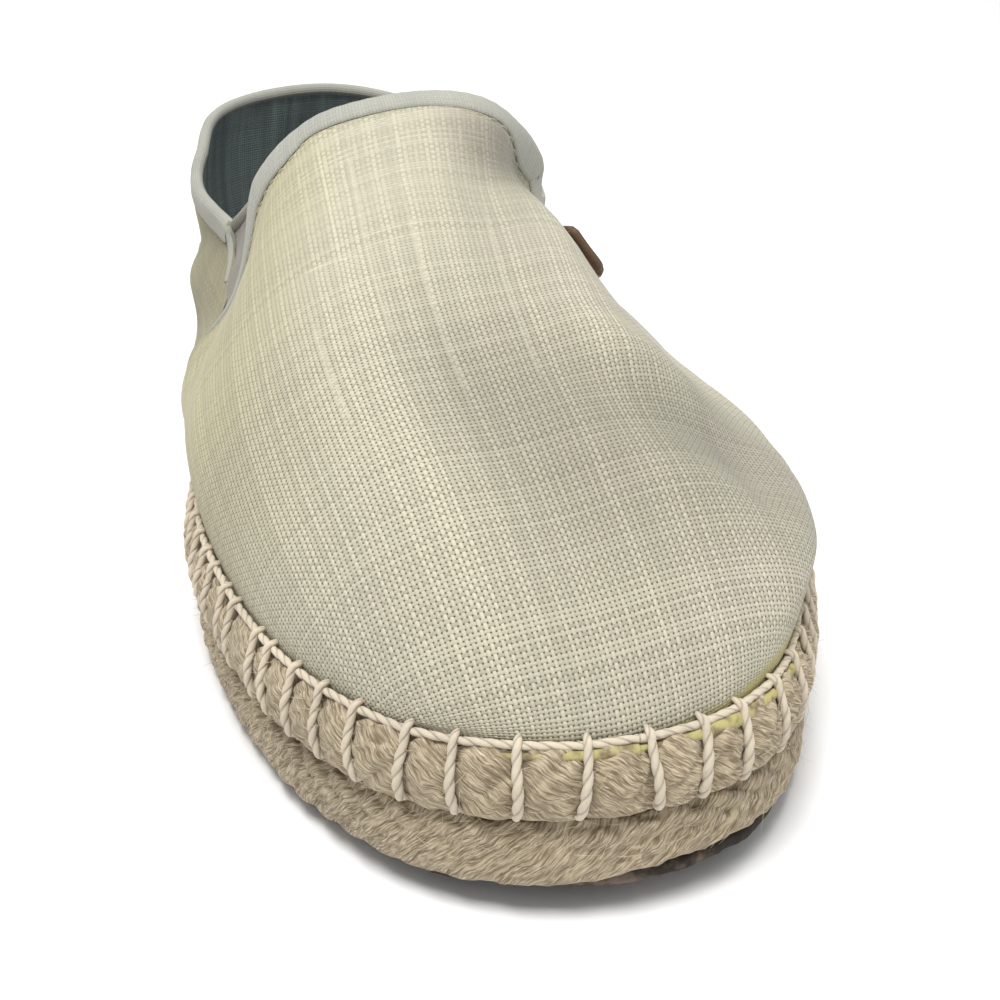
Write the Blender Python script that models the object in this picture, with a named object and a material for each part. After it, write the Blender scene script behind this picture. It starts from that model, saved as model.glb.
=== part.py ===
"""Left espadrille: linen slip-on upper with two elastic gores on a coiled jute sole.

The toe points to -Y, the heel to +Y, the medial (big toe) side to -X and the lateral side to +X.
The origin is the middle of the footprint, on the floor.
"""

import math

import bmesh
import bpy
import numpy as np

# Driving sizes, in metres
LENGTH = 0.290              # sole, toe to heel
BALL_WIDTH = 0.1055         # sole, across the ball of the foot
INSTEP_HEIGHT = 0.0594      # throat of the upper above the sole
COLLAR_HEIGHT = 0.0354      # heel collar of the upper above the sole
TOE_SPRING = 0.0045         # how far the toe tip is lifted off the floor

OUTSOLE_THICKNESS = 0.0024
LOWER_BRAID_HEIGHT = 0.0080
UPPER_BRAID_HEIGHT = 0.0104
INSOLE_THICKNESS = 0.0024
INSOLE_CLEARANCE = 0.0020   # footbed inside the wall of the upper
OUTSOLE_INSET = 0.0024      # rubber behind the widest line of the jute
OUTSOLE_EDGE = 0.0008       # rounded lower edge of the rubber
LOWER_BRAID_INSET = 0.0007  # lower braid behind the upper one
FEATHER_INSET = 0.0034      # line where upper and sole are sewn, behind the widest line
FEATHER_SINK = 0.0004       # how far that line lies under the crest of the upper braid

WALL = 0.0016               # linen with its lining
SEAM_LIFT = 0.0007          # vamp laid over the quarters
GORE_THICKNESS = 0.0008
GORE_RECESS = 0.0003        # gore behind the face of the quarters
GORE_GAP = 0.0012           # between a gore and the edges of its V
BINDING_WIDTH = 0.0050
BINDING_TAPE = 0.0005       # tape on each side of the wall
BINDING_GAP = 0.0006        # between the tape and the linen, on the face of the last
TAB_LENGTH = 0.0120
TAB_HEIGHT = 0.0160
TAB_THICKNESS = 0.0018
TAB_LIFT = 0.0012           # how far the tab's free edge stands off the quarter
TAB_AT = 0.545              # rib where the rear corner of the tab's upper edge lies
TAB_TOP = 0.88              # share up that rib of the tab's upper edge

STITCH_PITCH = 0.0077       # lumps of the upper braid, one between two stitches
PLAIT_PITCH = 0.0090        # lumps of the lower braid
PLAIT_LEAN = 0.8            # how far the plait's lumps lean, as a share of a lump
LUMP_DEPTH = 0.0009
ROUNDNESS = 0.24            # depth of a course's round side, as a share of its height
SPRING_START = -0.26        # share of LENGTH where the toe spring begins
GAP = 0.0003                # free space between pieces that touch

SOLE_TOP = OUTSOLE_THICKNESS + GAP + LOWER_BRAID_HEIGHT + GAP + UPPER_BRAID_HEIGHT
FEATHER_TOP = SOLE_TOP - FEATHER_SINK

# Half widths of the sole, as shares of BALL_WIDTH, at shares of LENGTH from the toe
OUTLINE = (
    # from toe, medial, lateral
    (0.000, -0.005, -0.005),
    (0.014, -0.165, 0.146),
    (0.042, -0.268, 0.238),
    (0.085, -0.345, 0.314),
    (0.145, -0.410, 0.392),
    (0.220, -0.454, 0.468),
    (0.310, -0.474, 0.515),
    (0.400, -0.446, 0.512),
    (0.500, -0.402, 0.468),
    (0.600, -0.368, 0.408),
    (0.700, -0.352, 0.368),
    (0.800, -0.350, 0.338),
    (0.900, -0.326, 0.290),
    (0.960, -0.258, 0.204),
    (0.990, -0.146, 0.086),
    (1.000, -0.028, -0.028),
)

# Ribs of the last, from the sewn line at the sole to the top line, toe to heel.
# "at" is the share of the way along the sewn line, from the toe tip to the middle of the heel.
# The top point is in shares of BALL_WIDTH, LENGTH and the height that rib_height gives. A rib is a
# Bezier curve: it leaves the sole upwards by rise and outwards by lean, and comes to the top from a
# point that lies reach of the way back to the sole, drop lower and bulge further out.
MEDIAL_RIBS = (
    # at, top x, top y, top z, rise, lean, reach, drop, bulge
    (0.00, -0.005, -0.043, 0.995, 0.33, 0.020, 0.46, 0.34, 0.00),
    (0.13, -0.110, -0.041, 0.976, 0.33, 0.022, 0.46, 0.32, 0.00),
    (0.26, -0.200, -0.032, 0.905, 0.31, 0.028, 0.46, 0.26, 0.00),
    (0.37, -0.262, -0.012, 0.755, 0.22, 0.075, 0.42, 0.22, -0.04),
    (0.45, -0.300, 0.022, 0.600, 0.13, 0.145, 0.34, 0.26, -0.11),
    (0.53, -0.334, 0.075, 0.485, 0.13, 0.150, 0.28, 0.22, -0.07),
    (0.61, -0.368, 0.155, 0.480, 0.16, 0.120, 0.26, 0.18, -0.01),
    (0.72, -0.360, 0.262, 0.488, 0.22, 0.055, 0.26, 0.18, 0.02),
    (0.84, -0.316, 0.368, 0.515, 0.25, 0.020, 0.26, 0.18, 0.02),
    (0.93, -0.225, 0.446, 0.555, 0.26, 0.020, 0.26, 0.18, 0.02),
    (1.00, -0.030, 0.471, 0.580, 0.27, 0.020, 0.26, 0.18, 0.02),
)
LATERAL_RIBS = (
    # at, top x, top y, top z, rise, lean, reach, drop, bulge
    (0.13, 0.092, -0.041, 0.972, 0.31, 0.018, 0.46, 0.32, -0.06),
    (0.26, 0.165, -0.032, 0.885, 0.22, 0.010, 0.46, 0.26, -0.23),
    (0.37, 0.222, -0.012, 0.740, 0.17, 0.000, 0.42, 0.20, -0.31),
    (0.45, 0.264, 0.022, 0.595, 0.16, 0.010, 0.34, 0.19, -0.13),
    (0.53, 0.305, 0.075, 0.485, 0.17, 0.030, 0.28, 0.18, -0.08),
    (0.61, 0.345, 0.155, 0.480, 0.18, 0.030, 0.26, 0.18, -0.02),
    (0.72, 0.335, 0.262, 0.488, 0.22, 0.030, 0.26, 0.18, 0.02),
    (0.84, 0.268, 0.368, 0.515, 0.25, 0.020, 0.26, 0.18, 0.02),
    (0.93, 0.148, 0.446, 0.555, 0.26, 0.020, 0.26, 0.18, 0.02),
)
TABLE_COLLAR = 0.596        # COLLAR_HEIGHT over INSTEP_HEIGHT for which the table was drawn

# A gore fills a V between the vamp and the quarters, on the same scale as "at"
GORE_FRONT = 0.385          # where the V meets the throat
GORE_TIP = 0.500            # where the V ends, above the seam
GORE_BACK = 0.540           # where the V meets the collar
GORE_FLOOR = 0.40           # height of the tip, as a share of the way up the rib
GORE_CURVE = 1.55           # over 1 makes the vamp's edge leave the throat softly
SEAM_FOOT = 0.425           # where the seam meets the sole
SEAM_HALF = 0.0022          # half of the seam's step
LIFT_SHARE = 0.25           # share of the way up over which the vamp rises over the quarters
BINDING_END = 0.60          # how far down the gore the vamp's binding reaches
BINDING_TAPER = 0.35        # share of its width that is left there
BINDING_CURVE = 0.7         # under 1 makes it narrow late

THROAT_COLUMNS = 15         # on each side
GORE_COLUMNS = 7            # up each edge of a gore
GORE_SKIP = 1               # columns at the tip that are too close for a gore between them
COLLAR_COLUMNS = 18         # on each side
UPPER_ROWS = 11
TAB_POINTS = 6              # along each edge of the tab
PROFILE_STEPS = 4           # up the side of a course of jute
LUMP_POINTS = 3             # along each lump of jute
SOLE_POINTS = 120
ROUNDING = 1e-9             # below which two shares count as equal
PROBE = 0.002               # step of the measured slopes, on the scale of "at" and "up"
SHARP_ANGLE = 40            # degrees, over which an edge is shaded sharp
COLLECTION = "espadrille"


def closed_spline(knots, values, at):
    """Smooth closed curve of period 1 through values at knots: a periodic cubic spline."""
    knots = np.asarray(knots, float)
    values = np.asarray(values, float)
    count = len(knots)
    step = np.diff(np.append(knots, knots[0] + 1))
    slope = (np.roll(values, -1, axis=0) - values) / step[:, None]
    matrix = np.zeros((count, count))
    for i in range(count):
        matrix[i, i - 1] = step[i - 1]
        matrix[i, i] = 2 * (step[i - 1] + step[i])
        matrix[i, (i + 1) % count] = step[i]
    bend = np.linalg.solve(matrix, 6 * (slope - np.roll(slope, 1, axis=0)))
    at = (np.asarray(at, float) - knots[0]) % 1 + knots[0]
    i = np.clip(np.searchsorted(knots, at, side="right") - 1, 0, count - 1)
    j = (i + 1) % count
    h = step[i][:, None]
    b = (at - knots[i])[:, None] / h
    a = 1 - b
    return a * values[i] + b * values[j] + ((a**3 - a) * bend[i] + (b**3 - b) * bend[j]) * h**2 / 6


def outline_points(count=1440):
    """The widest line of the sole from above, toe tip first and round by the medial side."""
    rows = np.array(OUTLINE)
    y = (rows[:, 0] - 0.5) * LENGTH
    medial = np.column_stack([rows[:, 1] * BALL_WIDTH, y])
    lateral = np.column_stack([rows[:, 2] * BALL_WIDTH, y])
    points = np.vstack([medial, lateral[-2:0:-1]])
    steps = np.linalg.norm(np.roll(points, -1, axis=0) - points, axis=1)
    knots = np.concatenate([[0], np.cumsum(steps)[:-1]]) / steps.sum()
    curve = closed_spline(knots, points, np.arange(count) / count)
    curve -= (curve.min(axis=0) + curve.max(axis=0)) / 2
    return np.roll(curve, -int(np.argmin(curve[:, 1])), axis=0)


SOLE_CURVE = outline_points()


def loop_normals(points):
    """Outward unit normals of a closed curve seen from above, toe, medial side, heel."""
    along = np.roll(points, -1, axis=0) - np.roll(points, 1, axis=0)
    normals = np.column_stack([-along[:, 1], along[:, 0]])
    normals /= np.linalg.norm(normals, axis=1)[:, None]
    middle = points.mean(axis=0)
    return normals * np.sign(((points - middle) * normals).sum())


def signed_shares(points):
    """Share of the way from the toe tip to the heel for each point, negative on the lateral side."""
    steps = np.linalg.norm(np.roll(points, -1, axis=0) - points, axis=1)
    run = np.concatenate([[0], np.cumsum(steps)])
    heel = int(np.argmax(points[:, 1]))
    medial = run[: heel + 1] / run[heel]
    lateral = (run[heel:-1] - run[-1]) / (run[-1] - run[heel])
    return np.concatenate([medial, lateral[1:]])


def sole_loop(at, inset):
    """Points of the sole's outline moved inwards by inset, at signed shares from toe to heel."""
    shares = signed_shares(SOLE_CURVE)
    turn = np.append(np.where(shares < 0, shares + 2, shares), 2.0)
    moved = SOLE_CURVE - inset * loop_normals(SOLE_CURVE)
    moved = np.vstack([moved, moved[:1]])
    wanted = np.asarray(at, float) % 2
    return np.column_stack([np.interp(wanted, turn, moved[:, k]) for k in range(2)])


def spring(y):
    """Height that the toe spring adds at a place along the shoe."""
    start = SPRING_START * LENGTH
    share = np.clip((start - y) / (start + LENGTH / 2), 0, None)
    return TOE_SPRING * share**2


def round_shares(count):
    """Evenly spaced signed shares round the shoe, from the toe tip by the medial side."""
    turn = np.arange(count) * 2 / count
    return np.where(turn > 1, turn - 2, turn)


def rib_values(at):
    """The rib tables read at signed shares: top point, rise, lean, reach, drop and bulge."""
    rows = np.array(MEDIAL_RIBS + LATERAL_RIBS[::-1])
    toe_to_heel = len(MEDIAL_RIBS)
    knots = np.concatenate([rows[:toe_to_heel, 0] / 2, 1 - rows[toe_to_heel:, 0] / 2])
    return closed_spline(knots, rows[:, 1:], (np.asarray(at) / 2) % 1)


def rib_height(at):
    """Height that a rib's shares are taken of: the instep's at the throat, the collar's behind."""
    reach = np.clip((np.abs(at) - GORE_FRONT) / (GORE_BACK - GORE_FRONT), 0, 1)
    behind = reach * reach * (3 - 2 * reach)
    return INSTEP_HEIGHT * (1 - behind) + COLLAR_HEIGHT / TABLE_COLLAR * behind


def last_points(at, up):
    """Points of the last at signed shares round the shoe and shares up the rib."""
    at, up = np.broadcast_arrays(np.asarray(at, float), np.asarray(up, float))
    shape = at.shape
    at, u = at.ravel(), up.ravel()[:, None]
    foot = sole_loop(at, FEATHER_INSET)
    out = foot - sole_loop(at, FEATHER_INSET + WALL)
    out /= np.linalg.norm(out, axis=1)[:, None]
    value = rib_values(at)
    tall = rib_height(at)
    start = np.column_stack([foot, FEATHER_TOP + GAP + spring(foot[:, 1])])
    top = np.column_stack([
        value[:, 0] * BALL_WIDTH,
        value[:, 1] * LENGTH,
        SOLE_TOP + value[:, 2] * tall,
    ])
    lower = start + np.column_stack([out * value[:, 4:5] * BALL_WIDTH, value[:, 3] * tall])
    upper = top.copy()
    upper[:, :2] += (foot - top[:, :2]) * value[:, 5:6] + out * value[:, 7:8] * BALL_WIDTH
    upper[:, 2] -= value[:, 6] * tall
    points = (1 - u)**3 * start + 3 * (1 - u)**2 * u * lower + 3 * (1 - u) * u**2 * upper + u**3 * top
    return points.reshape(shape + (3,))


def last_slopes(at, up):
    """Change of the last's surface along "at" and along "up"."""
    at, up = np.broadcast_arrays(np.asarray(at, float), np.asarray(up, float))
    along = (last_points(at + PROBE, up) - last_points(at - PROBE, up)) / (2 * PROBE)
    rise = (last_points(at, up + PROBE) - last_points(at, up - PROBE)) / (2 * PROBE)
    return along, rise


def last_normals(at, up):
    """Outward unit normals of the last."""
    along, rise = last_slopes(at, up)
    normals = np.cross(rise, along)
    return normals / np.linalg.norm(normals, axis=-1)[..., None]


def vamp_edge(at):
    """Share up the rib where the vamp ends: the throat, then down the front of the gore."""
    reach = np.clip((np.abs(at) - GORE_FRONT) / (GORE_TIP - GORE_FRONT), 0, 1)
    return 1 - (1 - GORE_FLOOR) * reach**GORE_CURVE


def quarter_edge(at):
    """Share up the rib where a quarter ends: up the back of the gore, then the collar."""
    reach = np.clip((np.abs(at) - GORE_TIP) / (GORE_BACK - GORE_TIP), 0, 1)
    return GORE_FLOOR + (1 - GORE_FLOOR) * (1 - np.sqrt(1 - reach))


def vamp_side_shares():
    """Shares of the columns along the front edge of a gore, from the throat down to the tip."""
    return np.linspace(GORE_FRONT, GORE_TIP - SEAM_HALF, GORE_COLUMNS + 1)


def quarter_side_shares():
    """Shares of the columns along the back edge of a gore, from the tip up to the collar."""
    rise = np.linspace(0, 1, GORE_COLUMNS + 1)
    return GORE_TIP + (GORE_BACK - GORE_TIP) * (1 - (1 - rise)**2) + SEAM_HALF * (1 - rise)


def moved_edge(at, up, distance):
    """An edge path on the last, moved by a distance down from the edge, along the surface. The path
    runs the way that the shares grow."""
    points = last_points(at, up)
    along, rise = last_slopes(at, up)
    normals = last_normals(at, up)
    path = np.gradient(points, axis=0)
    path /= np.linalg.norm(path, axis=1)[:, None]
    step = np.cross(normals, path) * np.broadcast_to(distance, at.shape)[:, None]
    aa, ar, rr = (along * along).sum(1), (along * rise).sum(1), (rise * rise).sum(1)
    sa, sr = (step * along).sum(1), (step * rise).sum(1)
    size = aa * rr - ar * ar
    return at + (sa * rr - sr * ar) / size, up + (sr * aa - sa * ar) / size


def throat_shares():
    """Signed shares of the vamp's columns, from the lateral gore tip to the medial one."""
    side = np.concatenate([np.linspace(0, GORE_FRONT, THROAT_COLUMNS + 1), vamp_side_shares()[1:]])
    return np.concatenate([-side[:0:-1], side])


def collar_shares():
    """Shares of the quarters' columns, from the medial gore tip round the heel to the lateral one,
    which is at 2 less its own share."""
    collar = np.linspace(GORE_BACK, 1, COLLAR_COLUMNS + 1)
    side = np.concatenate([quarter_side_shares(), collar[1:]])
    return np.concatenate([side, 2 - side[-2::-1]])


def is_bound(at):
    """Whether the vamp's binding reaches a place on the vamp's edge."""
    return np.abs(at) < GORE_FRONT + (GORE_TIP - GORE_FRONT) * BINDING_END


def vamp_binding_width(at):
    """Width of the vamp's binding: full at the throat, narrowing down the gore."""
    left = 1 - (np.abs(at) - GORE_FRONT) / (GORE_TIP - GORE_FRONT) / BINDING_END
    left = np.clip(left, 0, 1)**BINDING_CURVE
    return BINDING_WIDTH * (BINDING_TAPER + (1 - BINDING_TAPER) * left)


def new_object(name, vertices, faces, material):
    """A mesh object from computed points, with its material, its faces turned outwards."""
    mesh = bpy.data.meshes.new(name)
    mesh.from_pydata(np.asarray(vertices).tolist(), [], faces)
    work = bmesh.new()
    work.from_mesh(mesh)
    bmesh.ops.recalc_face_normals(work, faces=work.faces)
    work.to_mesh(mesh)
    work.free()
    mesh.materials.append(material)
    mesh.shade_smooth()
    mesh.set_sharp_from_angle(angle=math.radians(SHARP_ANGLE))
    obj = bpy.data.objects.new(name, mesh)
    bpy.data.collections[COLLECTION].objects.link(obj)
    return obj


def strip_faces(count, rows, wrap_count, wrap_rows):
    """Quads of a grid of rows by count points, closed on itself either way if wanted."""
    faces = []
    for row in range(rows if wrap_rows else rows - 1):
        for i in range(count if wrap_count else count - 1):
            j, above = (i + 1) % count, (row + 1) % rows
            faces.append((row * count + i, row * count + j, above * count + j, above * count + i))
    return faces


def cap_faces(ring, first):
    """Faces across a ring that starts at the toe tip: quads over the toe spring, one flat face
    behind it."""
    count = len(ring)
    start = SPRING_START * LENGTH
    flat = next(i for i in range(count // 2) if min(ring[i, 1], ring[count - i - 1, 1]) > start)
    faces = [(first, first + 1, first + count - 1)]
    for i in range(1, flat):
        faces.append((first + i, first + i + 1, first + count - i - 1, first + count - i))
    faces.append(tuple(first + i for i in range(flat, count - flat + 1)))
    return faces


def slab(name, rings, material):
    """A closed body from rings of equal count stacked from the bottom up, with both ends filled."""
    count = len(rings[0])
    faces = strip_faces(count, len(rings), True, False)
    faces += cap_faces(rings[0], 0)
    faces += cap_faces(rings[-1], count * (len(rings) - 1))
    return new_object(name, np.vstack(rings), faces, material)


def lumps(count):
    """How far each of count points lies back from the widest line: lumps of LUMP_POINTS points."""
    phase = (np.arange(count) % LUMP_POINTS) / LUMP_POINTS
    return LUMP_DEPTH * (1 - np.sin(math.pi * phase))


def braid_course(name, bottom, height, inset, pitch, lean, crest_inset, crest_sink, material):
    """A course of jute: its side is half round in lumps that lean by a share of a lump from foot to
    crest, and its top runs inwards from the crest to a flat face."""
    length = np.linalg.norm(np.roll(SOLE_CURVE, -1, axis=0) - SOLE_CURVE, axis=1).sum()
    count = 2 * round(length / pitch / 2) * LUMP_POINTS
    lean_shift = lean * LUMP_POINTS * 2 / count
    at = round_shares(count)
    rings = []
    for step in range(PROFILE_STEPS + 1):
        angle = math.pi * (step / PROFILE_STEPS - 0.5)
        shift = lean_shift * (step / PROFILE_STEPS - 0.5)
        depth = (1 - math.cos(angle)) * height * ROUNDNESS + lumps(count) * math.cos(angle)
        outer = sole_loop(at + shift, inset)
        inner = sole_loop(at + shift, inset + height * ROUNDNESS + LUMP_DEPTH)
        share = (depth / (height * ROUNDNESS + LUMP_DEPTH))[:, None]
        loop = outer * (1 - share) + inner * share
        z = bottom + height * (0.5 + math.sin(angle) / 2) + spring(loop[:, 1])
        rings.append(np.column_stack([loop, z]))
    if crest_sink:
        loop = sole_loop(at + lean_shift / 2, crest_inset)
        rings.append(np.column_stack([loop, bottom + height - crest_sink + spring(loop[:, 1])]))
    return slab(name, rings, material)


def make_outsole():
    """The rubber sheet under the jute, with a rounded lower edge."""
    at = round_shares(SOLE_POINTS)
    rings = []
    for z, inset in ((0, OUTSOLE_EDGE), (OUTSOLE_EDGE, 0), (OUTSOLE_THICKNESS, 0)):
        loop = sole_loop(at, OUTSOLE_INSET + inset)
        rings.append(np.column_stack([loop, z + spring(loop[:, 1])]))
    return slab("outsole", rings, new_material("dark rubber", (0.035, 0.028, 0.024), 0.8))


def make_jute():
    """The two courses of jute: a plaited one below and a fat twisted roll above."""
    lower = OUTSOLE_THICKNESS + GAP
    upper = lower + LOWER_BRAID_HEIGHT + GAP
    material = new_material("jute", (0.46, 0.37, 0.25), 0.9)
    braid_course("jute_lower", lower, LOWER_BRAID_HEIGHT, LOWER_BRAID_INSET, PLAIT_PITCH, PLAIT_LEAN,
                 0, 0, material)
    braid_course("jute_upper", upper, UPPER_BRAID_HEIGHT, 0, STITCH_PITCH, 0.0,
                 FEATHER_INSET - GAP, FEATHER_SINK, material)


def make_insole():
    """The footbed, inside the upper."""
    at = round_shares(SOLE_POINTS // 2)
    rings = []
    for z in (GAP, INSOLE_THICKNESS + GAP):
        loop = sole_loop(at, FEATHER_INSET + WALL + INSOLE_CLEARANCE)
        rings.append(np.column_stack([loop, FEATHER_TOP + z + spring(loop[:, 1])]))
    return slab("insole", rings, new_material("footbed cloth", (0.30, 0.32, 0.33), 0.9))


def upper_columns():
    """For every column of the upper: its share at the sole, its share and height at the top, and
    how far the vamp lifts it. Columns run round from the lateral gore tip over the throat."""
    vamp = throat_shares()
    width = np.where(is_bound(vamp), vamp_binding_width(vamp) + BINDING_GAP, 0)
    vamp_at, vamp_up = moved_edge(vamp, vamp_edge(vamp), width)
    vamp_foot = vamp * SEAM_FOOT / GORE_TIP
    rear = collar_shares()
    side = np.minimum(rear, 2 - rear)
    rear_at, rear_up = rear.copy(), quarter_edge(side)
    bound = side > GORE_BACK - ROUNDING
    rear_at[bound], rear_up[bound] = moved_edge(rear[bound], rear_up[bound], BINDING_WIDTH + BINDING_GAP)
    rear_foot = 1 + (rear - 1) * (1 - SEAM_FOOT) / (1 - GORE_TIP)
    foot = np.concatenate([vamp_foot, rear_foot])
    at = np.concatenate([vamp_at, rear_at])
    up = np.concatenate([vamp_up, rear_up])
    lift = np.concatenate([np.full(len(vamp), SEAM_LIFT), np.zeros(len(rear))])
    return foot, at, up, lift


def make_upper():
    """Vamp and quarters: one hollow shell, open at the collar, at the gores and underneath."""
    foot, at, up, lift = upper_columns()
    rows = np.linspace(0, 1, UPPER_ROWS + 1)[:, None]
    grid_at = foot + (at - foot) * rows
    grid_up = up * rows
    skin = last_points(grid_at, grid_up)
    normals = last_normals(grid_at, grid_up)
    normals[0, :, 2] = 0
    normals[0] /= np.linalg.norm(normals[0], axis=1)[:, None]
    outer = skin + normals * (lift * np.minimum(1, rows / LIFT_SHARE))[..., None]
    inner = skin - normals * WALL
    rings = np.concatenate([outer, inner[::-1]])
    faces = strip_faces(len(foot), len(rings), True, True)
    return new_object("upper", rings.reshape(-1, 3), faces,
                      new_material("natural linen", (0.62, 0.58, 0.44), 0.9))


# Section of a binding: share of its width in from the edge, and share of its half thickness
BINDING_SECTION = (
    # in from edge, outwards
    (1.00, 1.00),
    (0.50, 1.00),
    (0.16, 0.90),
    (0.00, 0.40),
    (0.00, -0.40),
    (0.16, -0.90),
    (0.50, -1.00),
    (1.00, -1.00),
)


def make_binding(name, at, up, keep, width, lift, material):
    """Tape folded over the kept stretch of an edge path: its section carried along the path."""
    outer = lift + BINDING_TAPE
    inner = -WALL - BINDING_TAPE
    rings = []
    for share, out in BINDING_SECTION:
        moved_at, moved_up = moved_edge(at, up, width * share)
        moved_at, moved_up = moved_at[keep], moved_up[keep]
        offset = (outer + inner) / 2 + out * (outer - inner) / 2
        rings.append(last_points(moved_at, moved_up) + last_normals(moved_at, moved_up) * offset)
    count, sides = len(rings[0]), len(rings)
    faces = strip_faces(count, sides, False, True)
    faces.append(tuple(row * count for row in range(sides)))
    faces.append(tuple(row * count + count - 1 for row in range(sides)))
    return new_object(name, np.vstack(rings), faces, material)


def make_bindings():
    """The tape over the vamp's edge and the tape along the collar."""
    material = new_material("binding tape", (0.60, 0.60, 0.56), 0.85)
    at = throat_shares()
    make_binding("binding_throat", at, vamp_edge(at), is_bound(at), vamp_binding_width(at),
                 SEAM_LIFT, material)
    at = collar_shares()
    at = at[np.minimum(at, 2 - at) > GORE_BACK - ROUNDING]
    make_binding("binding_collar", at, np.ones(len(at)), np.full(len(at), True),
                 np.full(len(at), BINDING_WIDTH), 0.0, material)


def make_gore(name, side, material):
    """Elastic in the V between vamp and quarter: each row joins a column of one to the other's."""
    front, back = vamp_side_shares()[::-1], quarter_side_shares()
    front_at, front_up = moved_edge(front, vamp_edge(front), GORE_GAP)
    back_at, back_up = moved_edge(back, quarter_edge(back), -GORE_GAP)
    front_up[-1] = back_up[-1] = 1
    across = np.linspace(0, 1, GORE_COLUMNS)[None, :]
    rows = slice(GORE_SKIP, None)
    at = side * (front_at + (back_at - front_at) * across.T).T[rows]
    up = (front_up + (back_up - front_up) * across.T).T[rows]
    skin, normals = last_points(at, up), last_normals(at, up)
    outer = skin - normals * GORE_RECESS
    inner = skin - normals * (GORE_RECESS + GORE_THICKNESS)
    return panel(name, outer, inner, material)


def panel(name, outer, inner, material):
    """A closed sheet between an outer and an inner grid of points."""
    rows, count, _ = outer.shape
    size = rows * count
    faces = strip_faces(count, rows, False, False)
    faces += [tuple(size + i for i in face) for face in faces]
    rim = list(range(count))
    rim += [row * count + count - 1 for row in range(1, rows)]
    rim += [(rows - 1) * count + i for i in range(count - 2, -1, -1)]
    rim += [row * count for row in range(rows - 2, 0, -1)]
    faces += [(a, b, size + b, size + a) for a, b in zip(rim, rim[1:] + rim[:1])]
    points = np.concatenate([outer.reshape(-1, 3), inner.reshape(-1, 3)])
    return new_object(name, points, faces, material)


def make_tab():
    """Leather tab on the lateral side, sewn at its rear edge and standing off towards the toe. Its
    rows are its upper edge moved down over the quarter."""
    along, _ = last_slopes(np.array([-TAB_AT]), np.array([TAB_TOP]))
    forward = np.linspace(0, 1, TAB_POINTS)
    edge_at = TAB_LENGTH / np.linalg.norm(along) * forward - TAB_AT
    edge_up = np.full(TAB_POINTS, TAB_TOP)
    rows = [moved_edge(edge_at, edge_up, drop) for drop in np.linspace(TAB_HEIGHT, 0, TAB_POINTS)]
    at, up = np.array(rows).transpose(1, 0, 2)
    skin, normals = last_points(at, up), last_normals(at, up)
    stand = (BINDING_TAPE + GAP + TAB_LIFT * forward**1.5)[..., None]
    outer = skin + normals * (stand + TAB_THICKNESS)
    inner = skin + normals * stand
    return panel("side_tab", outer, inner, new_material("tan leather", (0.38, 0.20, 0.09), 0.6))


def new_material(name, colour, roughness):
    """A plain Principled material."""
    material = bpy.data.materials.new(name)
    material.use_nodes = True
    shader = material.node_tree.nodes["Principled BSDF"]
    shader.inputs["Base Color"].default_value = (*colour, 1)
    shader.inputs["Roughness"].default_value = roughness
    shader.inputs["Metallic"].default_value = 0
    material.diffuse_color = (*colour, 1)
    return material


def main():
    for obj in list(bpy.data.objects):
        bpy.data.objects.remove(obj)
    collection = bpy.data.collections.new(COLLECTION)
    bpy.context.scene.collection.children.link(collection)
    make_outsole()
    make_jute()
    make_insole()
    make_upper()
    make_bindings()
    elastic = new_material("grey elastic", (0.42, 0.38, 0.36), 0.85)
    make_gore("gore_medial", 1, elastic)
    make_gore("gore_lateral", -1, elastic)
    make_tab()


main()
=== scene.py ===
import math

import bpy
import numpy as np
from bpy.props import FloatProperty, FloatVectorProperty, IntProperty, PointerProperty
from mathutils import Matrix, Vector


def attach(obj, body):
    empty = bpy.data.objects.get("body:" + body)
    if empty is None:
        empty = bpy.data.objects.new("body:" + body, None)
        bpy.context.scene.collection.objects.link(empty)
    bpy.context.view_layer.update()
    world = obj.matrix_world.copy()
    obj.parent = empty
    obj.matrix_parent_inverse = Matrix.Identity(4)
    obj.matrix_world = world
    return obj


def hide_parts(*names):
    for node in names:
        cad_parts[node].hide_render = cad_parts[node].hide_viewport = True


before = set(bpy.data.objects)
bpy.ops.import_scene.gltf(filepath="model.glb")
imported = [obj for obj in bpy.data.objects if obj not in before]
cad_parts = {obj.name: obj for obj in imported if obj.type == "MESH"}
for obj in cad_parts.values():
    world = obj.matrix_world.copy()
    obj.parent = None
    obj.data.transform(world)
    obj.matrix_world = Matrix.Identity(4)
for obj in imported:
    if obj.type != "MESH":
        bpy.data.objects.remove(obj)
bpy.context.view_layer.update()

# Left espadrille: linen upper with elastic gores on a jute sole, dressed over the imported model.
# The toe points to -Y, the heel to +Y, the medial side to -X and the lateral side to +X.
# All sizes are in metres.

bl_info = {
    "name": "Espadrille",
    "version": (1, 0, 0),
    "blender": (4, 5, 0),
    "location": "3D View > Sidebar > Espadrille",
    "description": "Builds the cloth, jute and stitching of a left espadrille",
    "category": "Add Mesh",
}

# Sizes of the last and the sole, the same as in the solids
LENGTH = 0.290
BALL_WIDTH = 0.1055
INSTEP_HEIGHT = 0.0594
COLLAR_HEIGHT = 0.0354
TOE_SPRING = 0.0045
SPRING_START = -0.26
OUTSOLE_THICKNESS = 0.0024
LOWER_BRAID_HEIGHT = 0.0080
UPPER_BRAID_HEIGHT = 0.0104
OUTSOLE_INSET = 0.0024
FEATHER_INSET = 0.0034
FEATHER_SINK = 0.0004
WALL = 0.0016
SEAM_LIFT = 0.0007
GAP = 0.0003
SOLE_TOP = OUTSOLE_THICKNESS + GAP + LOWER_BRAID_HEIGHT + GAP + UPPER_BRAID_HEIGHT
FEATHER_TOP = SOLE_TOP - FEATHER_SINK
TABLE_COLLAR = 0.596

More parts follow.
